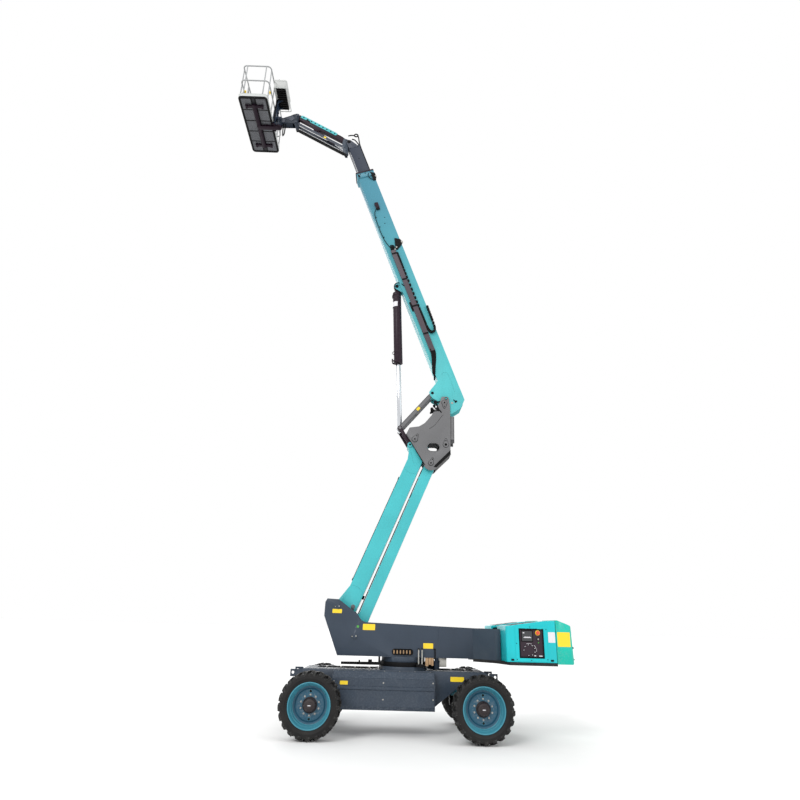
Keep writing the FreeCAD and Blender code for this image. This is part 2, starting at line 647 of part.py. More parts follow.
# ---------------------------------------------------------------- knuckle
def boom_knuckle():
    """Two side plates, a back plate and a lower plate, with the three cross pins."""
    k, kl, p = KNUCKLE_PIN, KNUCKLE_LINK_PIN, UPPER_PIN
    right = p[0] + 120
    outline = [(right, p[1] - 60), (p[0] + 88, p[1] + 118), (p[0] + 62, p[1] + 140), (p[0] - 40, p[1] + 140),
               (p[0] - 68, p[1] + 118), (p[0] - 88, p[1] + 30), (k[0] + 347, k[1] + 543),
               (k[0] + 208, k[1] + 368), (k[0] + 88, k[1] + 288), (k[0] - 114, k[1] + 255),
               (k[0] - 188, k[1] + 100), (kl[0] - 120, kl[1] - 40), (kl[0] - 80, kl[1] - 120),
               (kl[0] + 110, kl[1] - 90), (right + 5, kl[1] + 210), (right + 5, p[1] - 300)]
    oval = join([cross_pin(k[0] + 355, k[1] - 157, 88, -300, 300),
                 cross_pin(k[0] + 430, k[1] - 157, 88, -300, 300),
                 box(k[0] + 355, k[0] + 430, -300, 300, k[1] - 245, k[1] - 69)])
    pieces = []
    outer = KNUCKLE_INNER + KNUCKLE_T
    for y0, y1 in ((KNUCKLE_INNER, outer), (-outer, -KNUCKLE_INNER)):
        side = join([plate(outline, y0, y1), cross_pin(kl[0], kl[1], 150, y0, y1)])
        pieces.append(side.cut(oval))
    w = KNUCKLE_INNER + 5
    pieces.append(box(right - 30, right + 5, -w, w, kl[1] + 215, p[1] - 340))
    low = [(kl[0] + 110, kl[1] - 90), (right + 5, kl[1] + 210), (right - 12, kl[1] + 225),
           (kl[0] + 96, kl[1] - 78)]
    pieces.append(plate(low, -w, w))
    for pin in (k, kl, p):
        pieces.append(cross_pin(*pin, PIN_R, -outer - 20, outer + 20))
    return join(pieces)


# ---------------------------------------------------------------- upper boom
def upper_boom():
    """Base section: a box tube with doubler plates, lugs and the mouth's collar."""
    w = UPPER_W / 2
    z0, z1 = UPPER_RISE - UPPER_DEPTH / 2, UPPER_RISE + UPPER_DEPTH / 2
    pieces = [tube(-UPPER_LENGTH, 30, w, z0, z1, UPPER_WALL)]
    gx, gz = GUIDE_PIN
    flare = [(60, z1), (215, 300), (279, 40), (150, -75), (-60, -85), (gx + 110, gz - 40), (gx + 40, gz - 62),
             (gx - 40, gz - 62), (gx - 90, gz), (gx - 230, z0), (-720, z0), (-1500, UPPER_RISE - 40),
             (-1620, UPPER_RISE + 10), (-1500, UPPER_RISE + 90), (-400, z1 - 20), (-200, z1)]
    pieces += plates(flare, w, w + DOUBLER_T)
    web = [(20, z0 + 4), (120, 10), (100, -60), (-60, -70), (-260, z0 + 4)]
    pieces += plates(web, w - 30, w + 1)
    pieces.append(cross_pin(0, 0, 75, -w, w))
    lug = [(gx + 120, z0 + 4), (gx + 52, gz - 40), (gx, gz - 62), (gx - 52, gz - 40), (gx - 160, z0 + 4)]
    pieces += plates(lug, 58, 88)
    cx, cz = CYLINDER_PIN
    lug = [(cx + 200, z0 + 4), (cx + 60, cz - 35), (cx, cz - 58), (cx - 50, cz - 40), (cx - 110, z0 + 4)]
    pieces += plates(lug, 60, 85)
    pieces.append(cross_pin(cx, cz, LIFT_PIN_R, -95, 95))
    pieces.append(tube(-UPPER_LENGTH - 12, -UPPER_LENGTH + 120, w + 22, z0 - 22, z1 + 22, 24))
    pad_x0, pad_x1 = -UPPER_LENGTH - 5, -UPPER_LENGTH + 165
    half_w, half_z = FLY_W / 2 + PAD_PLAY, FLY_DEPTH / 2 + PAD_PLAY
    pads = box(-UPPER_LENGTH, -UPPER_LENGTH + 160, 1 - w, w - 1, z0 + 1, z1 - 1)
    pads = pads.cut(box(pad_x0, pad_x1, -half_w, half_w, UPPER_RISE - half_z, UPPER_RISE + half_z))
    pieces.append(pads.cut(box(pad_x0, pad_x1, *CONDUIT_Y, UPPER_RISE, z1 - UPPER_WALL)))
    boom = join(pieces)
    boom = boom.cut(cross_pin(0, 0, PIN_R + PIN_PLAY, -w - 50, w + 50))
    boom = boom.cut(cross_pin(gx, gz, GUIDE_PIN_R + PIN_PLAY, -w - 50, w + 50))
    return placed(boom, UPPER_PIN, UPPER_ANGLE)


def guide_link():
    """Two bars from the boom's lug down to the linkage joint."""
    a, j = GUIDE_AT, JOINT_AT
    y0, y1 = GUIDE_BAR_Y
    pieces = []
    for ends in ((y0, y1), (-y1, -y0)):
        pieces += [strut(a, j, 90, *ends), cross_pin(*a, 55, *ends), cross_pin(*j, 55, *ends)]
    pieces.append(cross_pin((a[0] + j[0]) / 2, (a[1] + j[1]) / 2, 25, -y1 + 10, y1 - 10))
    pieces.append(cross_pin(*a, GUIDE_PIN_R, -y1 - 5, y1 + 5))
    for ends in ((60, THRUST_BAR_Y[1] + 4), (-THRUST_BAR_Y[1] - 4, -60)):
        pieces.append(cross_pin(*j, JOINT_PIN_R, *ends))
    return join(pieces)


def thrust_link():
    """Two bars from the linkage joint to the ear on the tower boom's head."""
    e, j = EAR_AT, JOINT_AT
    low, high = THRUST_BAR_Y
    bars = []
    for y0, y1 in ((low, high), (-high, -low)):
        bar = join([strut(e, j, 80, y0, y1), cross_pin(*e, 48, y0, y1), cross_pin(*j, 50, y0, y1)])
        bars.append(bar.cut(cross_pin(*j, JOINT_PIN_R + PIN_PLAY, y0 - 5, y1 + 5)))
    return Part.makeCompound(bars)


def cylinder_barrel(top, end, radius, length, rod_r, pin_r):
    """A barrel pinned at its top, bored for its rod and pointing at the rod's eye."""
    stop = towards(top, end, length)
    body = round_bar(towards(top, end, radius * 1.5), stop, radius)
    neck = strut(top, towards(top, end, radius * 1.6), pin_r * 2.6, -pin_r * 1.3, pin_r * 1.3)
    eye = cross_pin(*top, pin_r * 1.7, -pin_r * 1.3, pin_r * 1.3)
    bore = round_bar(towards(top, end, radius * 2.2), towards(top, end, length + 5), rod_r + PIN_PLAY)
    barrel = join([body, neck, eye]).cut(bore)
    return barrel.cut(cross_pin(*top, pin_r + PIN_PLAY, -200, 200))


def cylinder_rod(top, end, inside, rod_r, eye_r, eye_half):
    """A rod that starts inside its barrel and ends in an eye."""
    rod = round_bar(towards(top, end, inside), towards(end, top, eye_r / 2), rod_r)
    return join([rod, cross_pin(*end, eye_r, -eye_half, eye_half)])


def lift_cylinder_barrel():
    return cylinder_barrel(CYLINDER_AT, JOINT_AT, LIFT_BARREL_R, LIFT_BARREL_L, LIFT_ROD_R, LIFT_PIN_R)


def lift_cylinder_rod():
    return cylinder_rod(CYLINDER_AT, JOINT_AT, LIFT_BARREL_L - 250, LIFT_ROD_R, 65, 45)


def hose_tray():
    """Hose and cable tray along the upper boom's left face."""
    w = UPPER_W / 2
    z = UPPER_RISE - 68
    tray = box(-4050, -1250, -w - 60, -w, z - 55, z + 55)
    tray = tray.cut(box(-4040, -1260, -w - 52, -w - 8, z - 47, z + 60))
    tray = tray.cut(box(-1640, -1240, -w - DOUBLER_T, -w, z - 60, z + 60))
    return placed(tray, UPPER_PIN, UPPER_ANGLE)


def fly_boom():
    """Fly section with its rear pads and the head plates that hold the jib bracket."""
    z0, z1 = UPPER_RISE - FLY_DEPTH / 2, UPPER_RISE + FLY_DEPTH / 2
    hx, hz = FLY_HEAD_LOCAL
    pieces = [tube(-FLY_TIP, -UPPER_LENGTH + FLY_INSIDE, FLY_W / 2, z0, z1, FLY_WALL)]
    head = [(-FLY_TIP + 60, z0), (-FLY_TIP + 60, z1 - 30), (-FLY_TIP - 20, z1 - 60), (hx - 40, hz + 62),
            (hx - 75, hz), (hx - 40, hz - 62), (hx + 60, hz - 66)]
    pieces += plates(head, FLY_W / 2 - 20, FLY_W / 2 + 2)
    pieces.append(cross_pin(hx, hz, FLY_PIN_R, -FLY_W / 2 - 14, FLY_W / 2 + 14))
    in_w, in_z = UPPER_W / 2 - UPPER_WALL - PAD_PLAY, UPPER_DEPTH / 2 - UPPER_WALL - PAD_PLAY
    tail = -UPPER_LENGTH + FLY_INSIDE
    pad = box(tail - 150, tail - 20, -in_w, in_w, UPPER_RISE - in_z, UPPER_RISE + in_z)
    pad = pad.cut(box(tail - 160, tail, 5 - FLY_W / 2, FLY_W / 2 - 5, z0 + 5, z1 - 5))
    pieces.append(pad)
    return placed(join(pieces), UPPER_PIN, UPPER_ANGLE)


# ---------------------------------------------------------------- jib
def jib_bracket():
    """Upright bracket, kept level, on the fly head's pin; the left plate reaches down to the hose bar."""
    h, j, f = FLY_HEAD, JIB_AT, JIB_CYLINDER_FOOT
    l, c = moved(j, JIB_LINK_DROP), moved(j, HOSE_BAR_DROP)
    outline = [(h[0] + 62, h[1] - 20), (h[0] + 50, h[1] + 50), (h[0] - 20, h[1] + 100), (j[0] - 50, j[1] + 62),
               (j[0] - 72, j[1] - 20), (l[0] - 62, l[1] + 30), (l[0] - 50, l[1] - 55), (c[0] - 55, c[1] + 20),
               (c[0] - 30, c[1] - 45), (c[0] + 30, c[1] - 45), (h[0] - 10, h[1] - 260), (h[0] - 30, h[1] - 90)]
    short = outline[:7] + [(f[0] - 45, f[1] - 32), (f[0] + 8, f[1] - 48)] + outline[10:]
    inner = BRACKET_HALF - BRACKET_T
    pieces = [plate(outline, -BRACKET_HALF, -inner), plate(short, inner, BRACKET_HALF)]
    pieces.append(cross_pin(h[0], h[1], 55, -BRACKET_HALF, BRACKET_HALF))
    pieces.append(cross_pin(*j, JIB_PIN_R, -BRACKET_HALF - 6, BRACKET_HALF + 6))
    pieces.append(cross_pin(*c, JIB_PIN_R, -HOSE_BAR_Y[1] - 6, -inner))
    for x, z in (l, f):
        for y0, y1 in ((40, BRACKET_HALF + 6), (-BRACKET_HALF - 6, -40)):
            pieces.append(cross_pin(x, z, JIB_PIN_R, y0, y1))
    return join(pieces).cut(cross_pin(*h, FLY_PIN_R + PIN_PLAY, -200, 200))


def jib():
    """Main jib tube with bosses at both ends, and the cylinder's lug below it."""
    half = JIB_TUBE / 2
    w = JIB_HALF_W
    pieces = [tube(-JIB_LENGTH + 30, -30, w, -half, half, 6)]
    for x in (0, -JIB_LENGTH):
        pieces.append(cross_pin(x, 0, 50, -w, w))
    pieces += [box(-80, 0, -w, w, -40, 40), box(-JIB_LENGTH, 80 - JIB_LENGTH, -w, w, -40, 40)]
    x, z = JIB_CYLINDER_LUG
    lug = [(x + 130, 3 - half), (x + 45, z - 40), (x - 45, z - 40), (x - 110, 3 - half)]
    pieces += plates(lug, w - 9, w)
    pieces.append(cross_pin(x, z, JIB_CYLINDER_PIN_R, -w, w))
    arm = join(pieces)
    for x in (0, -JIB_LENGTH):
        arm = arm.cut(cross_pin(x, 0, JIB_PIN_R + PIN_PLAY, -90, 90))
    return placed(arm, JIB_AT, JIB_ANGLE)


def jib_guard():
    """Perforated guard plate along the top of the jib."""
    half = JIB_TUBE / 2
    w = JIB_HALF_W
    sheet = box(-1480, -330, -w, w, half, half + 40)
    sheet = sheet.cut(box(-1490, -320, 6 - w, w - 6, half - 1, half + 34))
    holes = [Part.makeCylinder(22, 20, V(-1400 + 125 * i, 0, half + 25)) for i in range(9)]
    return placed(sheet.cut(holes), JIB_AT, JIB_ANGLE)


def parallel_bar(drop, depth, y0, y1, boss_r):
    """A bar parallel to the jib, between its own pins."""
    length = JIB_LENGTH
    pieces = [box(-length + 20, -20, y0, y1, -depth / 2, depth / 2)]
    for x in (0, -length):
        pieces.append(cross_pin(x, 0, boss_r, y0, y1))
    bar = join(pieces)
    for x in (0, -length):
        bar = bar.cut(cross_pin(x, 0, JIB_PIN_R + PIN_PLAY, y0 - 5, y1 + 5))
    return placed(bar, moved(JIB_AT, drop), JIB_ANGLE)


def jib_link():
    """Two bars, one on each side of the jib's cylinder, that keep the basket level."""
    y0, y1 = LINK_BAR_Y
    return Part.makeCompound([parallel_bar(JIB_LINK_DROP, 70, *ends, 42) for ends in ((y0, y1), (-y1, -y0))])


def hose_bar():
    """Bar that carries the basket's hoses below the jib's left side."""
    y0, y1 = HOSE_BAR_Y
    return parallel_bar(HOSE_BAR_DROP, 60, -y1, -y0, 36)


def jib_cylinder_barrel():
    return cylinder_barrel(JIB_CYLINDER_TOP, JIB_CYLINDER_FOOT, JIB_BARREL_R, JIB_BARREL_L, JIB_ROD_R,
                           JIB_CYLINDER_PIN_R)


def jib_cylinder_rod():
    return cylinder_rod(JIB_CYLINDER_TOP, JIB_CYLINDER_FOOT, JIB_BARREL_L - 220, JIB_ROD_R, 28, 20)


def basket_mount():
    """Upright head on the jib's end: pin plates, an arm and the rotator's lower half."""
    h = JIB_HEAD
    l, c = moved(h, JIB_LINK_DROP), moved(h, HOSE_BAR_DROP)
    back = ROTATOR_X + 60
    outline = [(h[0] + 52, h[1] - 30), (h[0] + 40, h[1] + 45), (h[0] - 30, h[1] + 60), (h[0] - 90, h[1] + 20),
               (back, h[1] - 130), (back, h[1] - 290), (l[0] - 40, l[1] - 50), (c[0] - 40, c[1] + 20),
               (c[0] - 20, c[1] - 42), (c[0] + 35, c[1] - 30), (c[0] + 40, c[1] + 30), (l[0] + 55, l[1] - 20)]
    short = outline[:7] + [(l[0] + 45, l[1] - 45), outline[11]]
    inner = BRACKET_HALF - BRACKET_T
    pieces = [plate(outline, -BRACKET_HALF, -inner), plate(short, inner, BRACKET_HALF)]
    pieces.append(box(ROTATOR_X + 40, l[0] - 90, -80, 80, h[1] - 270, h[1] - 150))
    for pin in (h, l):
        pieces.append(cross_pin(*pin, JIB_PIN_R, -BRACKET_HALF - 6, BRACKET_HALF + 6))
    pieces.append(cross_pin(*c, JIB_PIN_R, -HOSE_BAR_Y[1] - 6, -inner))
    pieces.append(Part.makeCylinder(ROTATOR_R, ROTATOR_H, V(ROTATOR_X, 0, h[1] - ROTATOR_DROP)))
    return join(pieces)


def basket_carrier():
    """Rotator's upper half, its tall post, and the beam with cross arms under the floor."""
    top = JIB_HEAD[1] - ROTATOR_DROP + ROTATOR_H + PAD_PLAY
    low = JIB_HEAD[1] - ROTATOR_DROP - PAD_PLAY
    post_x = BASKET_X1 + 5
    mid_x = (BASKET_X0 + BASKET_X1) / 2
    w = CARRIER_HALF_W
    pieces = [Part.makeCylinder(ROTATOR_R, POST_T, V(ROTATOR_X, 0, top)),
              Part.makeCylinder(ROTATOR_R, 60, V(ROTATOR_X, 0, low - 60))]
    pieces.append(box(post_x, post_x + POST_T, -POST_HALF_W, POST_HALF_W, low - 60, CONSOLE_Z))
    pieces.append(box(post_x + 10, ROTATOR_X, -w, w, top, top + POST_T))
    pieces.append(box(mid_x - 50, ROTATOR_X, -w, w, FLOOR_Z - 70, FLOOR_Z - 5))
    pieces.append(box(mid_x - 50, mid_x + 50, -700, 700, FLOOR_Z - 65, FLOOR_Z))
    for y in (-640, 640):
        pieces.append(box(mid_x - 230, mid_x + 230, y - 35, y + 35, FLOOR_Z - 50, FLOOR_Z))
    return join(pieces)


def upright(edge):
    return along(edge, V(0, 0, 1))


def basket_floor():
    """Floor tray with a toe board standing round its edge."""
    x0, x1, y, t = BASKET_X0, BASKET_X1, BASKET_L / 2, TOE_T
    tray = rounded(box(x0, x1, -y, y, FLOOR_Z, FLOOR_Z + TOE_H), RAIL_BEND, upright)
    hollow = box(x0 + t, x1 - t, t - y, y - t, FLOOR_Z + FLOOR_T, FLOOR_Z + TOE_H + 1)
    return tray.cut(rounded(hollow, RAIL_BEND - t, upright))


def in_basket(shape):
    """Move a shape drawn from the corner of the basket's floor to its place."""
    shape.translate(V(BASKET_X0, 0, FLOOR_Z))
    return shape


def rail_loop(z):
    """Closed rail round the basket: four straight bars and four quarter bends."""
    x0, x1, y, r = RAIL_R, BASKET_D - RAIL_R, BASKET_L / 2 - RAIL_R, RAIL_BEND
    bars = []
    for side in (-1, 1):
        bars.append(Part.makeCylinder(RAIL_R, x1 - x0 - 2 * r, V(x0 + r, side * y, z), V(1, 0, 0)))
    for x in (x0, x1):
        bars.append(Part.makeCylinder(RAIL_R, 2 * (y - r), V(x, r - y, z), V(0, 1, 0)))
    for x, side, start in ((x1 - r, 1, 0), (x0 + r, 1, 90), (x0 + r, -1, 180), (x1 - r, -1, 270)):
        bend = Part.makeTorus(r, RAIL_R, V(0, 0, 0), V(0, 0, 1), 0, 360, 90)
        bend.rotate(V(0, 0, 0), V(0, 0, 1), start)
        bend.translate(V(x, side * (y - r), z))
        bars.append(bend)
    return bars


def basket_rails():
    """Top and middle rails with their posts, open in front for the gate, as five pieces."""
    top = RAIL_H - RAIL_R
    x0, x1, y, bend = RAIL_R, BASKET_D - RAIL_R, BASKET_L / 2 - RAIL_R, RAIL_BEND + 20
    posts = [(x0, -GATE_POST_Y), (x0, GATE_POST_Y), (x1, -350), (x1, 350)]
    for side in (-1, 1):
        posts += [(x, side * (y - bend)) for x in (x0, x1)]
        posts += [(x, side * y) for x in (x0 + bend, x1 - bend)]
    pieces = rail_loop(top) + rail_loop(MID_RAIL_H)
    pieces += [Part.makeCylinder(POST_R, top - TOE_H, V(px, py, TOE_H)) for px, py in posts]
    gateway = box(x0 - 40, x0 + 40, -GATE_POST_Y, GATE_POST_Y, TOE_H + 5, top + 40)
    for py in (-GATE_POST_Y, GATE_POST_Y):
        gateway = gateway.cut(Part.makeCylinder(POST_R, 2 * RAIL_H, V(x0, py, 0)))
    rails = join(pieces).cut(gateway)
    bend_y = BASKET_L / 2 - RAIL_R - RAIL_BEND - 6
    mid_x, back = BASKET_D / 2, BASKET_D + 1
    cells = {"end_left": (-1, back, -BASKET_L, -bend_y), "end_right": (-1, back, bend_y, BASKET_L),
             "front_left": (-1, mid_x, -bend_y, 0), "front_right": (-1, mid_x, 0, bend_y),
             "rear": (mid_x, back, -bend_y, bend_y)}
    return {"basket_rails_" + name: in_basket(rails.common(box(*cell, 0, 2 * RAIL_H)).Solids[0])
            for name, cell in cells.items()}


def basket_gate():
    """Swing gate in the front rail, hung by two sleeves on the rail's post."""
    top, low = RAIL_H - RAIL_R, TOE_H + 40
    x = RAIL_R
    pieces = []
    for z in (low, MID_RAIL_H, top):
        pieces.append(Part.makeCylinder(RAIL_R, 2 * GATE_HALF, V(x, -GATE_HALF, z), V(0, 1, 0)))
    for y in (-GATE_HALF + RAIL_R, GATE_HALF - RAIL_R):
        pieces.append(Part.makeCylinder(POST_R, top - low, V(x, y, low)))
    for z in (250, 800):
        pieces.append(Part.makeCylinder(POST_R + 7, 80, V(x, GATE_POST_Y, z)))
        pieces.append(box(x - 6, x + 6, GATE_HALF - 20, GATE_POST_Y, z + 10, z + 70))
    bore = Part.makeCylinder(POST_R + PIN_PLAY, RAIL_H, V(x, GATE_POST_Y, 0))
    return in_basket(join(pieces).cut(bore))


def control_console():
    """Operator's console outside the rear rail, standing on the rotator's post."""
    x1 = BASKET_X1 + CONSOLE_L
    shell = box(BASKET_X1, x1, *CONSOLE_Y, CONSOLE_Z, CONSOLE_Z + CONSOLE_H)
    return rounded(shell, 50, lambda e: e.BoundBox.XMin > x1 - 10 and e.BoundBox.ZLength > 200)


# ---------------------------------------------------------------- every piece
def wheels():
    pieces = {}
    for end, x in (("front", FRONT_X), ("rear", REAR_X)):
        for name, side in (("left", -1), ("right", 1)):
            pieces["tyre_%s_%s" % (end, name)] = tyre(x, side)
            pieces["rim_%s_%s" % (end, name)] = wheel_rim(x, side)
    return pieces


def side_pieces():
    """The pieces that come as a left one and a right one."""
    pieces = {}
    for name, side in (("left", -1), ("right", 1)):
        pieces["side_cover_" + name] = side_cover(side)
        pieces["steering_knuckle_" + name] = steering_knuckle(side)
        pieces["hood_" + name] = hood(side)
    return pieces


SINGLE_PIECES = (chassis_frame, front_axle, rear_axle, slew_ring, turntable_frame, tail_frame, counterweight,
                 ground_control_panel, engine_block, slew_drive, valve_block, lower_boom, lower_link,
                 boom_knuckle, upper_boom, guide_link, thrust_link, lift_cylinder_barrel, lift_cylinder_rod,
                 hose_tray, fly_boom, jib_bracket, jib, jib_guard, jib_link, hose_bar, jib_cylinder_barrel,
                 jib_cylinder_rod, basket_mount, basket_carrier, basket_floor, basket_gate, control_console)

pieces = {make.__name__: make() for make in SINGLE_PIECES}
pieces["tower_cylinder_barrels"] = Part.makeCompound([tower_barrel(-1), tower_barrel(1)])
pieces["tower_cylinder_rods"] = Part.makeCompound([tower_rod(-1), tower_rod(1)])
pieces.update(wheels())
pieces.update(side_pieces())
pieces.update(basket_rails())
for name, shape in pieces.items():
    shape.exportStep("parts/%s.step" % name)
    print(name, shape.isValid(), len(shape.Solids))
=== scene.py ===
"""Looks of an articulated boom lift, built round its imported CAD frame."""
import bpy
import bmesh
import json
import math
from mathutils import Matrix, Vector


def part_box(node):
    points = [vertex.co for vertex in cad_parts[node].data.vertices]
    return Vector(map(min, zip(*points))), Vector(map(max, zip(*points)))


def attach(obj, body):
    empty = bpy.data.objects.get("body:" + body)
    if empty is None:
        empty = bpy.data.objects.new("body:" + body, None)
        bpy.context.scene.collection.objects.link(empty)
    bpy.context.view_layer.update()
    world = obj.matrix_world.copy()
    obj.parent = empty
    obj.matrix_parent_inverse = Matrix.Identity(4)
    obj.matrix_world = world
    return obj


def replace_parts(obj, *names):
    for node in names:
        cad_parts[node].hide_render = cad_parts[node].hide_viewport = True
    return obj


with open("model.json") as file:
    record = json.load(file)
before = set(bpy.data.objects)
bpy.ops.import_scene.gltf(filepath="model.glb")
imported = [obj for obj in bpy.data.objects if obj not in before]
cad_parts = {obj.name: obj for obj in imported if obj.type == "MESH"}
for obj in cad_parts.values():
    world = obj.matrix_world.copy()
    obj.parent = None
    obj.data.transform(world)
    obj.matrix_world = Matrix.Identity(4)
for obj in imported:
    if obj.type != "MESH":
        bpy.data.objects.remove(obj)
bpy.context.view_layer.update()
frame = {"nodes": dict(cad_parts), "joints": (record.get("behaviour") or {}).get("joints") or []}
NODES = frame["nodes"]
PIN = {j["name"]: Vector(j["pos_m"]) for j in frame["joints"] if "pos_m" in j}
MM = 0.001
ROW = Matrix.Scale(MM, 4)                              # the model's own frame, in millimetres
FLAT = Matrix.Rotation(math.radians(90), 4, "X")       # lays an X-Z outline down, with z as -y
ENDWISE = Matrix.Rotation(math.radians(90), 4, "Z")    # turns a side face to an end
CENTRE, UP, DOWN = (0, 0, 0), (0, 0, 1), (0, 0, -1)
SIDES = ((-1, "left"), (1, "right"))


def mm(metres):
    """A place or size of the frame in whole millimetres."""
    return round(metres / MM)


def local(pivot, degrees):
    """A frame in millimetres at a pivot, turned about +Y."""
    return Matrix.Translation(pivot) @ Matrix.Rotation(math.radians(degrees), 4, "Y") @ ROW


def bar(start, end):
    """A frame in millimetres at one pin, with +X towards another."""
    run = end - start
    return local(start, -math.degrees(math.atan2(run.z, run.x)))


UPPER_LEAN, TOWER_LEAN, JIB_LEAN = 70, -67.5, 31       # degrees about +Y
UPPER = local(PIN["upper_lift"], UPPER_LEAN)           # upper and fly boom, -X towards the mouth
TOWER = local(PIN["tower_lift"], TOWER_LEAN)           # tower boom, +X towards the knuckle
LINK = local(PIN["tower_link_pivot"], TOWER_LEAN)      # link parallel to the tower boom
JIB = local(PIN["jib_lift"], JIB_LEAN)                 # jib, -X towards the basket
KNUCKLE = local(PIN["knuckle_level"], 0)


# ---------------------------------------------------------------- materials
def ramp(tree, source, low, high):
    """Stretch a value between low and high to 0..1."""
    node = tree.nodes.new("ShaderNodeMapRange")
    node.inputs["From Min"].default_value = low
    node.inputs["From Max"].default_value = high
    tree.links.new(source, node.inputs["Value"])
    return node.outputs["Result"]


def noise(tree, coords, scale, detail=4.0, stretch=None):
    """Noise in the piece's own coordinates."""
    if stretch:
        mapping = tree.nodes.new("ShaderNodeMapping")
        mapping.inputs["Scale"].default_value = stretch
        tree.links.new(coords, mapping.inputs["Vector"])
        coords = mapping.outputs["Vector"]
    node = tree.nodes.new("ShaderNodeTexNoise")
    node.inputs["Scale"].default_value = scale
    node.inputs["Detail"].default_value = detail
    tree.links.new(coords, node.inputs["Vector"])
    return node.outputs["Fac"]


def height(tree, coords):
    """Height of the point in the piece's own coordinates."""
    place = tree.nodes.new("ShaderNodeSeparateXYZ")
    tree.links.new(coords, place.inputs[0])
    return place.outputs["Z"]


def multiply(tree, a, b):
    """The product of two sockets, or of a socket and a number."""
    node = tree.nodes.new("ShaderNodeMath")
    node.operation = "MULTIPLY"
    for value, socket in ((a, node.inputs[0]), (b, node.inputs[1])):
        if isinstance(value, float):
            socket.default_value = value
        else:
            tree.links.new(value, socket)
    return node.outputs[0]


def mixed(tree, factor, a, b):
    """Mix two colours; each is a tuple or a socket."""
    node = tree.nodes.new("ShaderNodeMix")
    node.data_type = "RGBA"
    tree.links.new(factor, node.inputs[0])
    for value, socket in ((a, node.inputs[6]), (b, node.inputs[7])):
        if isinstance(value, tuple):
            socket.default_value = (*value, 1.0)
        else:
            tree.links.new(value, socket)
    return node.outputs[2]


DUST_TINT = (0.30, 0.27, 0.23)
GAP_TINT = (0.012, 0.012, 0.014)     # what shows through an open grating
STEEL_TINT = (0.30, 0.30, 0.31)      # bare metal at worn edges


def look(name, color, rough=0.4, metal=0.0, coat=0.0, vary=0.06, streak=0.0, dust=0.0, edge_wear_and_highlight=0.0,
         worn_and_highlight_tint=STEEL_TINT, grain=0.0, grain_scale=900.0, rough_vary=0.08, two_tone_and_shade=None, mesh=0.0, shine=0.5):
    """Procedural finish: colour variation, run-off streaks, dust low down, lightened edges and grain.
    Lightened edges are worn paint, and on the tyre a painted highlight; the height blend is two-tone paint,
    and on the upper boom painted shade.

    fade is (low height, high height, colour at and above the high one), and mesh is how dense an open
    grating is.
    """
    made = bpy.data.materials.new(name)
    made.use_nodes = True
    tree = made.node_tree
    shader = tree.nodes["Principled BSDF"]
    coords = tree.nodes.new("ShaderNodeTexCoord").outputs["Object"]
    cloud = noise(tree, coords, 1.9, 6.0)
    patch = ramp(tree, cloud, 0.32, 0.68)
    dark, pale = (tuple(min(1.0, c * share) for c in color) for share in (1 - vary, 1 + vary))
    base = mixed(tree, patch, dark, pale)
    # Blend by height: a sharp step is two-tone paint; the long blend on the upper boom is painted shade.
    if two_tone_and_shade:
        base = mixed(tree, ramp(tree, height(tree, coords), two_tone_and_shade[0], two_tone_and_shade[1]), base, two_tone_and_shade[2])
    if mesh:
        cells = tree.nodes.new("ShaderNodeTexVoronoi")
        cells.feature = "DISTANCE_TO_EDGE"
        cells.inputs["Scale"].default_value = mesh
        cells.inputs["Randomness"].default_value = 0.0
        tree.links.new(coords, cells.inputs["Vector"])
        base = mixed(tree, ramp(tree, cells.outputs["Distance"], 0.13, 0.20), base, GAP_TINT)
    if streak:
        runs = ramp(tree, noise(tree, coords, 7.0, 3.0, (1.0, 1.0, 0.07)), 0.52, 0.80)
        base = mixed(tree, multiply(tree, runs, streak), base, tuple(c * 0.45 for c in color))
    if dust:
        low = ramp(tree, height(tree, coords), 1.5, 0.1)
        patches = ramp(tree, noise(tree, coords, 5.5, 8.0), 0.35, 0.75)
        base = mixed(tree, multiply(tree, multiply(tree, low, patches), dust), base, DUST_TINT)
    # Lightened edges with chips: worn paint, and on the tyre a painted highlight.
    if edge_wear_and_highlight:
        geometry = tree.nodes.new("ShaderNodeNewGeometry")
        edge = ramp(tree, geometry.outputs["Pointiness"], 0.53, 0.60)
        chips = ramp(tree, noise(tree, coords, 38.0, 5.0), 0.48, 0.60)
        base = mixed(tree, multiply(tree, multiply(tree, edge, chips), edge_wear_and_highlight), base, worn_and_highlight_tint)
    tree.links.new(base, shader.inputs["Base Color"])
    shader.inputs["Metallic"].default_value = metal
    shader.inputs["Specular IOR Level"].default_value = shine
    shader.inputs["Coat Weight"].default_value = coat
    shader.inputs["Coat Roughness"].default_value = 0.15
    spread = tree.nodes.new("ShaderNodeMapRange")
    spread.inputs["To Min"].default_value = max(0.03, rough - rough_vary)
    spread.inputs["To Max"].default_value = min(1.0, rough + rough_vary)
    tree.links.new(noise(tree, coords, 14.0, 5.0), spread.inputs["Value"])
    tree.links.new(spread.outputs["Result"], shader.inputs["Roughness"])
    if grain:
        bump = tree.nodes.new("ShaderNodeBump")
        bump.inputs["Strength"].default_value = grain
        bump.inputs["Distance"].default_value = 0.002
        tree.links.new(noise(tree, coords, grain_scale, 2.0), bump.inputs["Height"])
        tree.links.new(bump.outputs["Normal"], shader.inputs["Normal"])
    return made


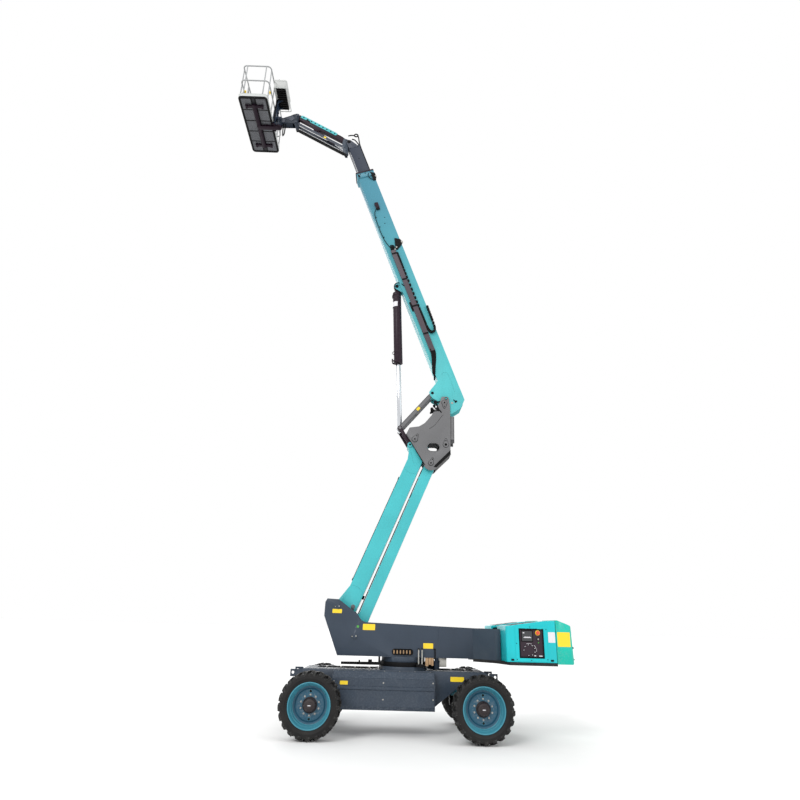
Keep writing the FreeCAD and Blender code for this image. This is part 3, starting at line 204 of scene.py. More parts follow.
TEAL = look("teal_gloss", (0.055, 0.42, 0.45), 0.38, coat=0.08, streak=0.10, edge_wear_and_highlight=0.30,
            grain=0.05, grain_scale=260.0, shine=0.3)
BRIGHT_TEAL = look("teal_bright", (0.005, 0.46, 0.50), 0.34, coat=0.12, streak=0.05, edge_wear_and_highlight=0.08,
                   grain=0.03, grain_scale=300.0, shine=0.3)
GREEN_TEAL = look("teal_cast", (0.003, 0.46, 0.36), 0.42, coat=0.08, streak=0.12, edge_wear_and_highlight=0.20,
                  grain=0.16, grain_scale=160.0, shine=0.3)
# Painted shade: from 7 m up to 11.6 m the teal blends into a darker grey-blue, in place of the shade higher
# up the boom.
BOOM_TEAL = look("teal_boom", (0.080, 0.44, 0.46), 0.40, coat=0.05, streak=0.10, edge_wear_and_highlight=0.30,
                 grain=0.05, grain_scale=260.0, shine=0.25, two_tone_and_shade=(7.0, 11.6, (0.070, 0.25, 0.33)))
SLATE = look("slate_blue", (0.030, 0.044, 0.066), 0.42, streak=0.12, dust=0.05, edge_wear_and_highlight=0.30,
             worn_and_highlight_tint=(0.16, 0.18, 0.21), grain=0.06, grain_scale=260.0, shine=0.35)
TAIL = look("tail_paint", (0.010, 0.010, 0.011), 0.45, dust=0.3, grain=0.14,
            grain_scale=260.0, shine=0.25, two_tone_and_shade=(1.236, 1.238, (0.034, 0.050, 0.070)))
CARRIER = look("carrier_paint", (0.012, 0.005, 0.011), 0.40, grain=0.12, shine=0.15,
               two_tone_and_shade=(14.055, 14.062, (0.015, 0.028, 0.052)))
TREAD = look("deck_tread", (0.16, 0.17, 0.18), 0.5, metal=0.3, vary=0.2, dust=0.6, grain=0.4,
             grain_scale=300.0)
GREY = look("mid_grey", (0.135, 0.135, 0.14), 0.42, streak=0.12, edge_wear_and_highlight=0.35, grain=0.12,
            grain_scale=260.0, shine=0.4)
CONDUIT = look("conduit_grey", (0.24, 0.25, 0.26), 0.40, streak=0.15, edge_wear_and_highlight=0.3, grain=0.10,
               shine=0.4)
HOSE_TRAY = look("tray_purple", (0.066, 0.050, 0.062), 0.42, streak=0.12, edge_wear_and_highlight=0.3,
                 grain=0.12, shine=0.35)
EDGE_GREY = look("edge_grey", (0.050, 0.050, 0.054), 0.45, edge_wear_and_highlight=0.2, grain=0.12, shine=0.3)
DARK = look("dark_blue_grey", (0.034, 0.042, 0.062), 0.38, streak=0.08, edge_wear_and_highlight=0.3, grain=0.10,
            grain_scale=260.0, shine=0.3)
PLUM = look("cylinder_paint", (0.020, 0.010, 0.017), 0.38, edge_wear_and_highlight=0.25, worn_and_highlight_tint=(0.12, 0.11, 0.12),
            grain=0.10, shine=0.15)
NAVY = look("navy_motor", (0.005, 0.012, 0.024), 0.40, dust=0.08, grain=0.15, shine=0.2)
BLACK = look("black_satin", (0.0045, 0.0045, 0.005), 0.45, edge_wear_and_highlight=0.2, worn_and_highlight_tint=(0.05, 0.05, 0.05),
             grain=0.15, grain_scale=400.0, shine=0.1)
RUBBER = look("hose_rubber", (0.0045, 0.0045, 0.005), 0.60, grain=0.35, grain_scale=1400.0,
              shine=0.12)
PANEL = look("panel_dark", (0.030, 0.018, 0.027), 0.50, grain=0.4, grain_scale=650.0,
             shine=0.25)
# Painted highlight: the edge lightening gives the lug edges a light grey, in place of light catching the
# edges of the tread.
TYRE = look("tyre_rubber", (0.0075, 0.0072, 0.0075), 0.62, vary=0.15, dust=0.04, edge_wear_and_highlight=0.75,
            worn_and_highlight_tint=(0.11, 0.11, 0.105), grain=0.3, grain_scale=700.0, shine=0.25)
RIM = look("rim_teal", (0.040, 0.225, 0.300), 0.36, coat=0.15, dust=0.05, edge_wear_and_highlight=0.3, grain=0.06)
# Painted shade: the darker blue of the rim's recessed dish.
DISH_SHADE = look("dish_painted_shade", (0.016, 0.085, 0.140), 0.38, dust=0.05, edge_wear_and_highlight=0.3, grain=0.06,
            shine=0.35)
HUB = look("hub_brown", (0.020, 0.013, 0.015), 0.45, dust=0.10, edge_wear_and_highlight=0.3, grain=0.3,
           grain_scale=350.0, shine=0.3)
ZINC = look("zinc", (0.42, 0.41, 0.38), 0.36, metal=0.85, vary=0.12, rough_vary=0.12,
            grain=0.15)
CHROME = look("chrome", (0.62, 0.64, 0.67), 0.12, metal=1.0, vary=0.02, rough_vary=0.04)
ROD_EYE = look("rod_steel", (0.10, 0.10, 0.105), 0.40, metal=0.6, vary=0.05, edge_wear_and_highlight=0.2,
               grain=0.1)
BRASS = look("brass_block", (0.42, 0.27, 0.15), 0.38, metal=0.6, vary=0.12, grain=0.15)
TRAY = look("basket_tray", (0.016, 0.016, 0.019), 0.42, streak=0.1, grain=0.1, shine=0.25,
            two_tone_and_shade=(14.071, 14.073, (0.52, 0.54, 0.53)))
WHITE = look("white_rail", (0.52, 0.54, 0.53), 0.35, coat=0.15, streak=0.10, edge_wear_and_highlight=0.25,
             grain=0.08)
RAIL = look("rail_grey", (0.33, 0.34, 0.345), 0.34, coat=0.15, streak=0.10, edge_wear_and_highlight=0.25,
            grain=0.08)
GRATING = look("grating", (0.16, 0.165, 0.18), 0.42, metal=0.4, vary=0.12, grain=0.2,
               mesh=42.0, shine=0.3)
FLOOR = look("floor_grating", (0.10, 0.105, 0.11), 0.48, metal=0.4, edge_wear_and_highlight=0.4, grain=0.3,
             grain_scale=200.0)
SHELL = look("console_shell", (0.46, 0.47, 0.46), 0.48, grain=0.45, grain_scale=520.0)
YELLOW = look("label_yellow", (0.84, 0.60, 0.02), 0.35, vary=0.03)
BLANK = look("label_white", (0.66, 0.65, 0.68), 0.35, vary=0.03)
RED = look("stop_red", (0.62, 0.05, 0.02), 0.30, coat=0.4, vary=0.03)
GREEN = look("lamp_green", (0.06, 0.30, 0.04), 0.25, coat=0.5, vary=0.03)
SCREEN = look("screen_glass", (0.010, 0.012, 0.016), 0.08, coat=0.8, vary=0.02)
IRON = look("engine_iron", (0.07, 0.07, 0.075), 0.55, metal=0.3, vary=0.2, grain=0.4,
            grain_scale=300.0)


# ---------------------------------------------------------------- building pieces
def finished(obj, bevel, smooth):
    """Smooth shading with sharp creases, and small bevels on the hard edges."""
    obj.data.shade_smooth()
    obj.data.set_sharp_from_angle(angle=math.radians(smooth))
    if bevel:
        round_off = obj.modifiers.new("bevel", "BEVEL")
        round_off.width = bevel * MM
        round_off.segments = 2
        round_off.limit_method = "ANGLE"
        round_off.angle_limit = math.radians(smooth)
        round_off.harden_normals = True


class Build:
    """One piece, drawn from simple solids in a frame in millimetres."""

    def __init__(self, at=ROW):
        self.bm = bmesh.new()
        self.at = at

    def box(self, x0, x1, y0, y1, z0, z1):
        """A block between two corners."""
        middle = Matrix.Translation(((x0 + x1) / 2, (y0 + y1) / 2, (z0 + z1) / 2))
        size = Matrix.Diagonal((x1 - x0, y1 - y0, z1 - z0, 1))
        bmesh.ops.create_cube(self.bm, size=1, matrix=self.at @ middle @ size)
        return self

    def cyl(self, a, b, r, r2=None, n=28):
        """A cylinder from a to b, or a cone if r2 is given."""
        a, b = Vector(a), Vector(b)
        turn = (b - a).to_track_quat("Z", "Y").to_matrix().to_4x4()
        bmesh.ops.create_cone(self.bm, cap_ends=True, segments=n, radius1=r, radius2=r if r2 is None else r2,
                              depth=(b - a).length, matrix=self.at @ Matrix.Translation((a + b) / 2) @ turn)
        return self

    def boss(self, side, x, z, y0, y1, r, n=28, bolt=0):
        """A round boss that stands out along Y on one side, perhaps with a bolt head on its end."""
        self.cyl((x, side * y0, z), (x, side * y1, z), r, n=n)
        if bolt:
            self.stud(side, x, y1, z, bolt)
        return self

    def ring(self, points):
        """New vertices at these points."""
        return [self.bm.verts.new(self.at @ Vector(p)) for p in points]

    def skin(self, here, there):
        """Faces between two rings of vertices."""
        for k in range(len(here)):
            m = (k + 1) % len(here)
            self.bm.faces.new((here[k], here[m], there[m], there[k]))

    def close(self, first, last):
        """Faces over the first and the last ring."""
        self.bm.faces.new(list(reversed(first)))
        self.bm.faces.new(last)
        return self

    def loft(self, sections):
        """A closed solid through loops of the same number of points."""
        rings = [self.ring(section) for section in sections]
        for here, there in zip(rings, rings[1:]):
            self.skin(here, there)
        return self.close(rings[0], rings[-1])

    def prism(self, points, shift):
        """A flat outline of (x, y, z) points, thickened by the shift."""
        return self.loft([points, [Vector(p) + Vector(shift) for p in points]])

    def plate(self, points, y0, y1):
        """A flat outline of (x, z) points, thick along Y."""
        return self.prism([(x, y0, z) for x, z in points], (0, y1 - y0, 0))

    def rail(self, points, x0, x1):
        """A section of (y, z) points, drawn along X."""
        return self.prism([(x0, y, z) for y, z in points], (x1 - x0, 0, 0))

    def border(self, outer, inner, y0, y1):
        """A flat ring between two outlines of (x, z) points."""
        loops = [self.ring([(x, y, z) for x, z in line])
                 for line, y in ((outer, y0), (outer, y1), (inner, y1), (inner, y0))]
        for here, there in zip(loops, loops[1:] + loops[:1]):
            self.skin(here, there)
        return self

    def lathe(self, profile, start, axis, n=64):
        """Turn an outline of (radius, distance along the axis) points about the axis."""
        start = Vector(start)
        turn = Vector(axis).to_track_quat("Z", "Y").to_matrix()
        rings = [self.ring([start + turn @ Vector((r * c, r * s, along)) for r, along in profile])
                 for c, s in circle(n)]
        for here, there in zip(rings, rings[1:] + rings[:1]):
            self.skin(here, there)
        bmesh.ops.remove_doubles(self.bm, verts=self.bm.verts, dist=1e-6)
        return self

    def collar(self, inner, outer, low, high, start, axis, n=28):
        """A plain ring about an axis, between two radii and two distances along it."""
        return self.lathe([(inner, low), (outer, low), (outer, high), (inner, high)], start, axis, n)

    def hose(self, points, r, n=10, steps=6):
        """A round hose on a smooth line through the points."""
        line = smooth_line([Vector(p) for p in points], steps)
        rings = []
        for i, p in enumerate(line):
            run = line[min(i + 1, len(line) - 1)] - line[max(i - 1, 0)]
            turn = run.to_track_quat("Z", "Y").to_matrix()
            rings.append(self.ring([p + turn @ Vector((x, y, 0)) for x, y in circle(n, r)]))
        for here, there in zip(rings, rings[1:]):
            twist = min(range(n), key=lambda s: (here[0].co - there[s].co).length)
            self.skin(here, there[twist:] + there[:twist])
        return self.close(rings[0], rings[-1])

    def bolt(self, at, out, r=10.0):
        """Hex bolt head on a washer."""
        at, out = Vector(at), Vector(out).normalized()
        self.cyl(at, at + out * r * 0.25, r * 1.35, n=20)
        self.cyl(at + out * r * 0.25, at + out * r * 0.95, r, n=6)
        return self

    def stud(self, side, x, y, z, r):
        """A bolt head on a side face."""
        return self.bolt((x, side * y, z), (0, side, 0), r)

    def done(self, name, body, finish, bevel=1.5, smooth=38.0, slot=None):
        """Finish the piece, give it its finish and let it ride on its body."""
        bmesh.ops.recalc_face_normals(self.bm, faces=self.bm.faces)
        mesh = bpy.data.meshes.new(name)
        self.bm.to_mesh(mesh)
        self.bm.free()
        obj = bpy.data.objects.new(name, mesh)
        bpy.context.scene.collection.objects.link(obj)
        mesh.materials.append(finish)
        finished(obj, bevel, smooth)
        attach(obj, body)
        return obj


def circle(count, r=1.0, offset=0.0):
    """Points spread evenly round a circle, from the first axis on; the offset is in steps."""
    turns = [2 * math.pi * (i + offset) / count for i in range(count)]
    return [(r * math.cos(a), r * math.sin(a)) for a in turns]


def rounded_rect(x0, x1, z0, z1, r, n=4):
    """A rectangle with round corners, as (x, z) points."""
    corners = ((x1 - r, z1 - r, 0), (x0 + r, z1 - r, 90), (x0 + r, z0 + r, 180), (x1 - r, z0 + r, 270))
    turns = [(x, z, math.radians(a + 90 * k / n)) for x, z, a in corners for k in range(n + 1)]
    return [(x + r * math.cos(a), z + r * math.sin(a)) for x, z, a in turns]


def out_from(y, thick):
    """The two y values of something that stands out from a face at y."""
    return sorted((y, y + math.copysign(thick, y)))


def label(name, body, at, span, y, finish=YELLOW):
    """Blank rounded label stuck on a side face."""
    Build(at).plate(rounded_rect(*span, 9), *out_from(y, 1.6)).done(name, body, finish, 0.4)


def smooth_line(points, steps):
    """Catmull-Rom line through the points."""
    ends = [points[0] * 2 - points[1]] + points + [points[-1] * 2 - points[-2]]
    line = []
    for a, b, c, d in zip(ends, ends[1:], ends[2:], ends[3:]):
        for k in range(steps):
            t = k / steps
            bend = (2 * a - 5 * b + 4 * c - d) * t * t
            line.append(0.5 * (2 * b + (c - a) * t + bend + (3 * b - a - 3 * c + d) * t ** 3))
    return line + [points[-1]]


# ---------------------------------------------------------------- camera, floor and light
CAMERA_AT = (-0.33595, -11.7, 1.76593)
CAMERA_LENS = 25.896                             # for a sensor 36 wide
CAMERA_TILT = (0.373186, 0.02693, 0.012701)      # pitch, roll and yaw in radians
FLOOR_HALF = 220.0


def camera():
    """The viewpoint: low, close to the chassis and tilted up."""
    data = bpy.data.cameras.new("camera")
    data.sensor_width = 36.0
    data.lens = CAMERA_LENS
    data.clip_start, data.clip_end = 0.05, 500.0
    cam = bpy.data.objects.new("camera", data)
    bpy.context.scene.collection.objects.link(cam)
    pitch, roll, yaw = CAMERA_TILT
    ahead = math.cos(pitch)
    forward = Vector((math.sin(yaw) * ahead, math.cos(yaw) * ahead, math.sin(pitch)))
    right = Vector((math.cos(yaw), -math.sin(yaw), 0))
    up = right.cross(forward)
    across = right * math.cos(roll) + up * math.sin(roll)
    above = up * math.cos(roll) - right * math.sin(roll)
    turn = Matrix((across, above, -forward)).transposed().to_4x4()
    cam.matrix_world = Matrix.Translation(CAMERA_AT) @ turn
    bpy.context.scene.camera = cam


def sun(name, strength, angle, toward):
    """A soft distant lamp that shines towards a direction."""
    data = bpy.data.lights.new(name, "SUN")
    data.energy = strength
    data.angle = math.radians(angle)
    lamp = bpy.data.objects.new(name, data)
    lamp.rotation_mode = "QUATERNION"
    lamp.rotation_quaternion = Vector(toward).to_track_quat("-Z", "Y")
    bpy.context.scene.collection.objects.link(lamp)


def studio():
    """Pale floor, pale surroundings and soft light."""
    mesh = bpy.data.meshes.new("studio_floor")
    a = FLOOR_HALF
    mesh.from_pydata([(-a, -a, 0), (a, -a, 0), (a, a, 0), (-a, a, 0)], [], [(0, 1, 2, 3)])
    floor = bpy.data.objects.new("studio_floor", mesh)
    bpy.context.scene.collection.objects.link(floor)
    mesh.materials.append(look("studio_floor", (0.86, 0.86, 0.855), 0.85, vary=0.008, rough_vary=0.02))
    world = bpy.data.worlds.new("studio")
    world.use_nodes = True
    sky = world.node_tree.nodes["Background"]
    sky.inputs["Color"].default_value = (1.0, 1.0, 1.0, 1)
    sky.inputs["Strength"].default_value = 1.0
    bpy.context.scene.world = world
    sun("key", 1.2, 22, (0.45, 0.75, -0.62))
    sun("fill", 0.4, 40, (-0.75, 0.45, -0.30))
    sun("back", 0.6, 35, (0.10, -0.85, -0.45))
    bpy.context.scene.view_settings.view_transform = "Standard"
    bpy.context.scene.view_settings.look = "None"


camera()
studio()


# ---------------------------------------------------------------- CAD nodes keep their shape
CAD_LOOKS = {name: finish for finish, names in (
    (SLATE, "chassis_frame side_cover_left side_cover_right turntable_frame jib_bracket"),
    (BLACK, "front_axle rear_axle steering_knuckle_left steering_knuckle_right slew_ring hose_bar"),
    (PLUM, "tower_cylinder_barrels thrust_link lift_cylinder_barrel jib jib_cylinder_barrel"),
    (DARK, "slew_drive fly_boom jib_link"),
    (GREY, "boom_knuckle guide_link"),
    (TEAL, "lower_boom lower_link jib_guard"),
    (BRIGHT_TEAL, "hood_left hood_right"),
    (GREEN_TEAL, "counterweight"),
    (BOOM_TEAL, "upper_boom"),
    (HOSE_TRAY, "hose_tray"),
    (TAIL, "tail_frame"),
    (NAVY, "basket_mount"),
    (CARRIER, "basket_carrier"),
    (TRAY, "basket_floor"),
    (CHROME, "lift_cylinder_rod jib_cylinder_rod"),
    (ROD_EYE, "tower_cylinder_rods"),
    (ZINC, "valve_block"),
    (IRON, "engine_block"),
    (PANEL, "ground_control_panel"),
    (SHELL, "control_console"),
) for name in names.split()}                     # every other node is rail grey
BEVELS = {"chassis_frame": 6, "counterweight": 10, "hood_left": 8, "hood_right": 8, "control_console": 8,
          "turntable_frame": 3, "boom_knuckle": 3, "upper_boom": 3, "lower_boom": 3}
WELD_GAP = 0.00002


def dress_cad_nodes():
    """Paint the CAD nodes, close their seams and round their edges."""
    for name, obj in NODES.items():
        finish = CAD_LOOKS.get(name, RAIL)
        if not obj.material_slots:
            obj.data.materials.append(finish)
        for place in obj.material_slots:
            place.material = finish
        weld = obj.modifiers.new("weld", "WELD")
        weld.merge_threshold = WELD_GAP
        finished(obj, BEVELS.get(name, 1.5), 34)


dress_cad_nodes()


# ---------------------------------------------------------------- wheels
TYRE_R = 515
# half of the tyre's section, as (radius, distance from the middle plane)
TYRE_HALF = [(346, 137), (354, 139), (355, 150), (374, 161), (397, 169.5), (401, 172.5), (409, 173),
             (412, 171.5), (432, 172.5), (456, 166), (473, 148), (480, 120), (482, 60)]
LUGS = 21              # in each of the two rows
LUG_TAPER = 0.006      # radians
# sections of a lug: foot, top, how far round the tread its middle is, half its width
LUG_STATIONS = [((482, -16), (514.6, -16), 0, 25), ((482, 34), (514.6, 34), 6, 24),
                ((479, 92), (513, 92), 30, 27), ((464, 148), (501, 158), 56, 33),
                ((432, 165), (455, 176), 66, 36)]
RIM_OUTLINE = [(344, 137), (352, 138), (352, 147), (346, 151), (337, 149), (331, 141), (327, 126),
               (322, 113), (318, 104), (317, 70), (312, 63), (305, 58), (303, 22), (297, 8), (285, -3),
               (268, -9), (252, -10), (243, -3), (236, 5), (228, 8), (112, 8), (112, -9), (228, -9),
               (246, -24), (262, -26), (298, -18), (314, -34), (317, -92), (331, -139), (337, -149),
               (346, -151), (352, -147), (352, -138), (344, -137), (329, -104), (329, 104)]
# Skin over the rim's flat dish, for its painted shade.
DISH_SHADE_OUTLINE = [(113, 9), (228, 9), (237, 6), (244.5, -2), (253.5, -8.8), (268, -7.8), (284.5, -1.5),
                (284, -4), (268, -12), (250, -12), (240, 0), (228, 6), (113, 6)]
HUB_OUTLINE = [(0, 110), (46, 110), (52, 106), (54, 98), (80, 95), (93, 89), (100, 79), (106, 42),
               (118, 34), (122, 27), (122, -9), (0, -9)]
HUB_BOLTS, HUB_BOLT_RING = 12, 86
NUTS, NUT_RING = 10, 154.0
NUT_STEPS = ((8, 11, 15, 20), (11, 26, 11.5, 6), (26, 33, 6.5, 14))     # washer, nut and stud end
HAND_HOLE_RING, HAND_HOLE_R = 205.0, 21.0
HAND_HOLE_RIM = [(HAND_HOLE_R, -1), (HAND_HOLE_R + 5, -1), (HAND_HOLE_R + 5, 3), (HAND_HOLE_R, 4)]
HAND_HOLE_TURNS = (math.pi / 2, -math.pi / 2)
VALVE_TURN = 0.6


def around(side, r, s, a):
    """A point at a radius and an angle about the wheel's axle, s outwards from its middle plane."""
    return (r * math.cos(a), side * s, r * math.sin(a))


def tread(made, side):
    """Two rows of lugs, lofted from just past the middle to the shoulder."""
    for i in range(LUGS * 2):
        row = side if i % 2 else -side
        turn = math.pi * i / LUGS
        sections = []
        for foot, top, run, half in LUG_STATIONS:
            a, b = turn + (run - half) / TYRE_R, turn + (run + half) / TYRE_R
            sections.append([around(row, *foot, a), around(row, *foot, b),
                             around(row, *top, b - LUG_TAPER), around(row, *top, a + LUG_TAPER)])
        made.loft(sections)


def wheel(end, side, name):
    """Detailed tyre, rim and hub in place of one wheel's plain CAD solids. A darker skin on the rim's dish
    and black discs in its hand holes are painted shade.
    """
    corner = end + "_" + name
    body = "wheel_" + corner
    low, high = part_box("tyre_" + corner)
    at = Matrix.Translation((low + high) / 2) @ ROW
    grow = (high.z - low.z) / 2 / (TYRE_R * MM)
    axis = (0, side, 0)
    outline = TYRE_HALF + [(r, -s) for r, s in reversed(TYRE_HALF)]
    carcass = Build(at).lathe([(r * grow, s) for r, s in outline], CENTRE, axis, 96)
    tread(carcass, side)
    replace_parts(carcass.done("tread_" + body, body, TYRE, 4, 32), "tyre_" + corner)
    rim = Build(at).lathe(RIM_OUTLINE, CENTRE, axis, 96)
    for a in HAND_HOLE_TURNS:
        rim.lathe(HAND_HOLE_RIM, around(side, HAND_HOLE_RING, 8, a), axis, 28)
    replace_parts(rim.done("dish_" + body, body, RIM, 1.5, 30), "rim_" + corner)
    # Painted shade: a darker skin over the rim's dish, in place of the shade in the recessed dish.
    Build(at).lathe(DISH_SHADE_OUTLINE, CENTRE, axis, 96).done("dish_shade_" + body, body, DISH_SHADE, 0, 30)
    hub = Build(at).lathe(HUB_OUTLINE, CENTRE, axis, 64)
    for x, z in circle(HUB_BOLTS, HUB_BOLT_RING):
        hub.stud(side, x, 92, z, 5.5)
    hub.done("hub_" + body, body, HUB, 1.5, 30)
    # Painted shade: black discs fill the hand holes, in place of the shade inside the wheel; the valve stem
    # in the same piece is a real part.
    holes = Build(at)
    for a in HAND_HOLE_TURNS:
        holes.cyl(around(side, HAND_HOLE_RING, 2, a), around(side, HAND_HOLE_RING, 9.5, a), HAND_HOLE_R)
    holes.cyl(around(side, 322, 108, VALVE_TURN), around(side, 312, 132, VALVE_TURN), 4, n=10)
    holes.done("hand_hole_shade_and_valve_" + body, body, BLACK, 0, slot="rim_paint")
    nuts = Build(at)
    for x, z in circle(NUTS, NUT_RING, 0.5):
        for y0, y1, r, n in NUT_STEPS:
            nuts.boss(side, x, z, y0, y1, r, n)
    nuts.done("nuts_" + body, body, ZINC, 1)
    mark = Build(at).box(-24, 24, *out_from(side * 109, 3), -6, 6)
    mark.done("hub_mark_" + body, body, BLANK, 0.5, slot="rail_paint")


for end_name in ("front", "rear"):
    for hand, side_name in SIDES:
        wheel(end_name, hand, side_name)


# ---------------------------------------------------------------- chassis and axles
COVER_X = [mm(corner.x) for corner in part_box("side_cover_left")]
COVER_Y = mm(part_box("side_cover_right")[1].y)
FRAME_Y = mm(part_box("side_cover_right")[0].y)
DECK_Z = 1020
FRAME_ENDS = ((-1870, -1), (1545, 1))
HUB_Z = mm(PIN["wheel_front_left_spin"].z)
KINGPIN_Y = mm(PIN["steer_right"].y)
AXLES = ((mm(PIN["wheel_front_left_spin"].x), -1, "front"), (mm(PIN["wheel_rear_left_spin"].x), 1, "rear"))
DIFF_OUTLINE = [(0, 74), (58, 68), (112, 46), (142, 18), (148, 0), (178, 0), (178, -26), (0, -26)]


def side_cover(side, name):
    """Pressed skins, a rib, a bevelled top and end lips on a side cover, with its bolts and labels."""
    x0, x1 = COVER_X
    face = COVER_Y * side

    def section(*points):
        """(y, z) points from distances out of the face and heights."""
        return [(face + side * out, z) for out, z in points]

    skin = Build()
    for z0, z1 in ((460, 706), (776, 882)):
        skin.plate(rounded_rect(x0 + 14, x1 - 14, z0, z1, 6), *out_from(face, 4))
    skin.rail(section((0, 712), (13, 724), (13, 760), (0, 772)), x0 + 8, x1 - 8)
    skin.rail(section((-5, 897), (-2, 899), (-82, 1001), (-85, 999)), x0 + 14, x1 - 14)
    lip = section((0, 452), (12, 452), (12, 893), (-80, 1012), (-92, 1005), (0, 888))
    for x in (x0, x1 - 6):
        skin.rail(lip, x, x + 6)
    skin.done("cover_skin_" + name, "chassis", SLATE)
    bolts = Build()
    for x, z in ((-1206, 585), (-1206, 842), (-350, 572), (512, 585), (512, 842), (-350, 830)):
        bolts.stud(side, x, COVER_Y + 3, z, 9)
    for x in range(-1150, 500, 270):
        bolts.bolt((x, side * 490, 1004), UP, 8)
    bolts.done("cover_bolts_" + name, "chassis", ZINC, 0.5)
    label("cover_label_front_" + name, "chassis", ROW, (-1103, -968, 790, 850), face + side * 3)
    label("cover_label_rear_" + name, "chassis", ROW, (831, 1071, 862, 940), side * FRAME_Y)


def deck():
    """Plates with raised tread on the chassis deck, in front of and behind the slewing ring."""
    plates, raised = Build(), Build()
    pitch_x, pitch_y, top = 62, 60, DECK_Z + 2
    for x0, x1 in ((-1720, -500), (500, 1390)):
        for side, _ in SIDES:
            y0, y1 = sorted((side * 60, side * 432))
            plates.box(x0, x1, y0, y1, DECK_Z - 1, top)
            for i in range(int((x1 - x0 - 40) / pitch_x)):
                for k in range(6):
                    x, y = x0 + 36 + pitch_x * i, y0 + 34 + pitch_y * k
                    lean = 20 if (i + k) % 2 else -20
                    raised.prism([(x - 22, y - lean, top), (x, y - 6, top), (x + 22, y + lean, top),
                                  (x, y + 6, top)], (0, 0, 1.6))
    plates.done("deck_plates", "chassis", SLATE, 0.5)
    raised.done("deck_tread", "chassis", TREAD, 0)


def deck_hoses():
    """Four hoses with clamps from the slewing centre to each end of the deck."""
    hoses, clamps = Build(), Build()
    for away, reach in ((-1, 1560), (1, 1290)):
        for y in (-36, -12, 12, 36):
            hoses.hose([(away * 455, y, 1042), (away * 600, y, 1030), (away * 900, y * 1.1, 1030),
                        (away * (reach - 120), y, 1030), (away * (reach - 30), y, 1034),
                        (away * reach, y, 1018)], 9)
        for x in range(620, reach - 100, 260):
            clamps.box(away * x - 14, away * x + 14, -54, 54, DECK_Z, 1041)
    hoses.done("deck_hoses", "chassis", RUBBER, 0)
    clamps.done("deck_hose_clamps", "chassis", ZINC, 1)


def frame_ends():
    """A bolted plate with a tow jaw and its pin on each end of the chassis."""
    ends = Build()
    for x, away in FRAME_ENDS:
        ends.box(min(x, x + away * 10), max(x, x + away * 10), -235, 235, 806, 936)
        for y in (-52, 34):
            ends.box(min(x, x + away * 95), max(x, x + away * 95), y, y + 18, 812, 892)
        ends.cyl((x + away * 62, -66, 852), (x + away * 62, 66, 852), 17)
        for y in (-205, -105, 105, 205):
            for z in (828, 914):
                ends.bolt((x + away * 9, y, z), (away, 0, 0), 10)
    ends.done("tow_jaws", "chassis", BLACK, 2)


def belly_plates():
    """Bolted plates below the chassis."""
    under = Build()
    for x in (-520, 20, 330):
        under.box(x - 150, x + 150, -300, 300, 442, 451)
        for y in (-280, -95, 95, 280):
            for dx in (-130, 130):
                under.bolt((x + dx, y, 443), DOWN, 9)
    under.done("belly_plates", "chassis", SLATE)


def axle_detail(x, away, end):
    """Differential cover and motor, axle flanges, mounting bolts and hoses on one axle."""
    nose = x + away * 112
    made = Build().lathe(DIFF_OUTLINE, (nose, 0, HUB_Z), (away, 0, 0), 40)
    for y, z in circle(14, 163):
        made.bolt((nose, y, HUB_Z + z), (away, 0, 0), 9)
    made.cyl((x - away * 150, 0, HUB_Z), (x - away * 250, 0, HUB_Z + 10), 104, 92)
    made.cyl((x - away * 250, 0, HUB_Z + 10), (x - away * 420, 0, HUB_Z + 14), 72)
    made.cyl((x - away * 420, 0, HUB_Z + 14), (x - away * 452, 0, HUB_Z + 14), 84)
    for side, _ in SIDES:
        for y in (430, 640):
            made.collar(80, 112, -12, 12, (x, side * y, HUB_Z), (0, side, 0), 32)
        for dx in (-86, 86):
            for y in (305, 365):
                made.bolt((x + dx, side * y, 700), DOWN, 12)
    made.done("axle_castings_" + end, "chassis", BLACK, 2)
    hoses = Build()
    for side, _ in SIDES:
        for z in (606, 628):
            hoses.hose([(x - away * 300, side * 60, HUB_Z + 60), (x - away * 190, side * 150, z + 30),
                        (x - away * 60, side * 300, z), (x - away * 40, side * 520, z - 10),
                        (x - away * 30, side * 715, z - 22)], 11)
    hoses.done("axle_hoses_" + end, "chassis", RUBBER, 0)


def steering():
    """Steering cylinder across the front axle, and caps over the kingpins."""
    x = AXLES[0][0]
    rod_x, rod_z = x - 176, 470
    body, rods = Build(), Build()
    body.cyl((rod_x, -250, rod_z), (rod_x, 250, rod_z), 40)
    for side, _ in SIDES:
        body.boss(side, rod_x, rod_z, 250, 286, 47)
        body.box(x - 214, x - 60, *sorted((side * 150, side * 176)), 448, 540)
        rods.boss(side, rod_x, rod_z, 280, 452, 19)
        body.cyl((rod_x, side * 440, rod_z), (rod_x, side * 500, rod_z), 34, 26)
        y = side * KINGPIN_Y
        for z, up in ((665, 1), (365, -1)):
            body.cyl((x, y, z), (x, y, z + up * 16), 50)
            for dx, dy in circle(4, 34, 0.5):
                body.bolt((x + dx, y + dy, z + up * 16), (0, 0, up), 6)
    body.done("steering_cylinder", "chassis", BLACK)
    rods.done("steering_rods", "chassis", CHROME, 0)


for hand, side_name in SIDES:
    side_cover(hand, side_name)
deck()
deck_hoses()
frame_ends()
belly_plates()
for centre, outward, end_name in AXLES:
    axle_detail(centre, outward, end_name)
steering()


# ---------------------------------------------------------------- turntable
PLATE_FACE = 330
TOWER_PINS = [(mm(PIN[name].x), mm(PIN[name].z)) for name in ("tower_lift", "tower_link_pivot")]
PLATE_LABELS = (("high", (-1336, -1161, 1950, 2020)), ("middle", (-761, -536, 1672, 1776)),
                ("low", (352, 532, 1385, 1475)))
OPENING = rounded_rect(-215, 173, 1263, 1372, 50)
MOTOR_X, MOTOR_Y = 597, -318
QUARTER_TURN = 1.571             # radians
ROD_Y = -402


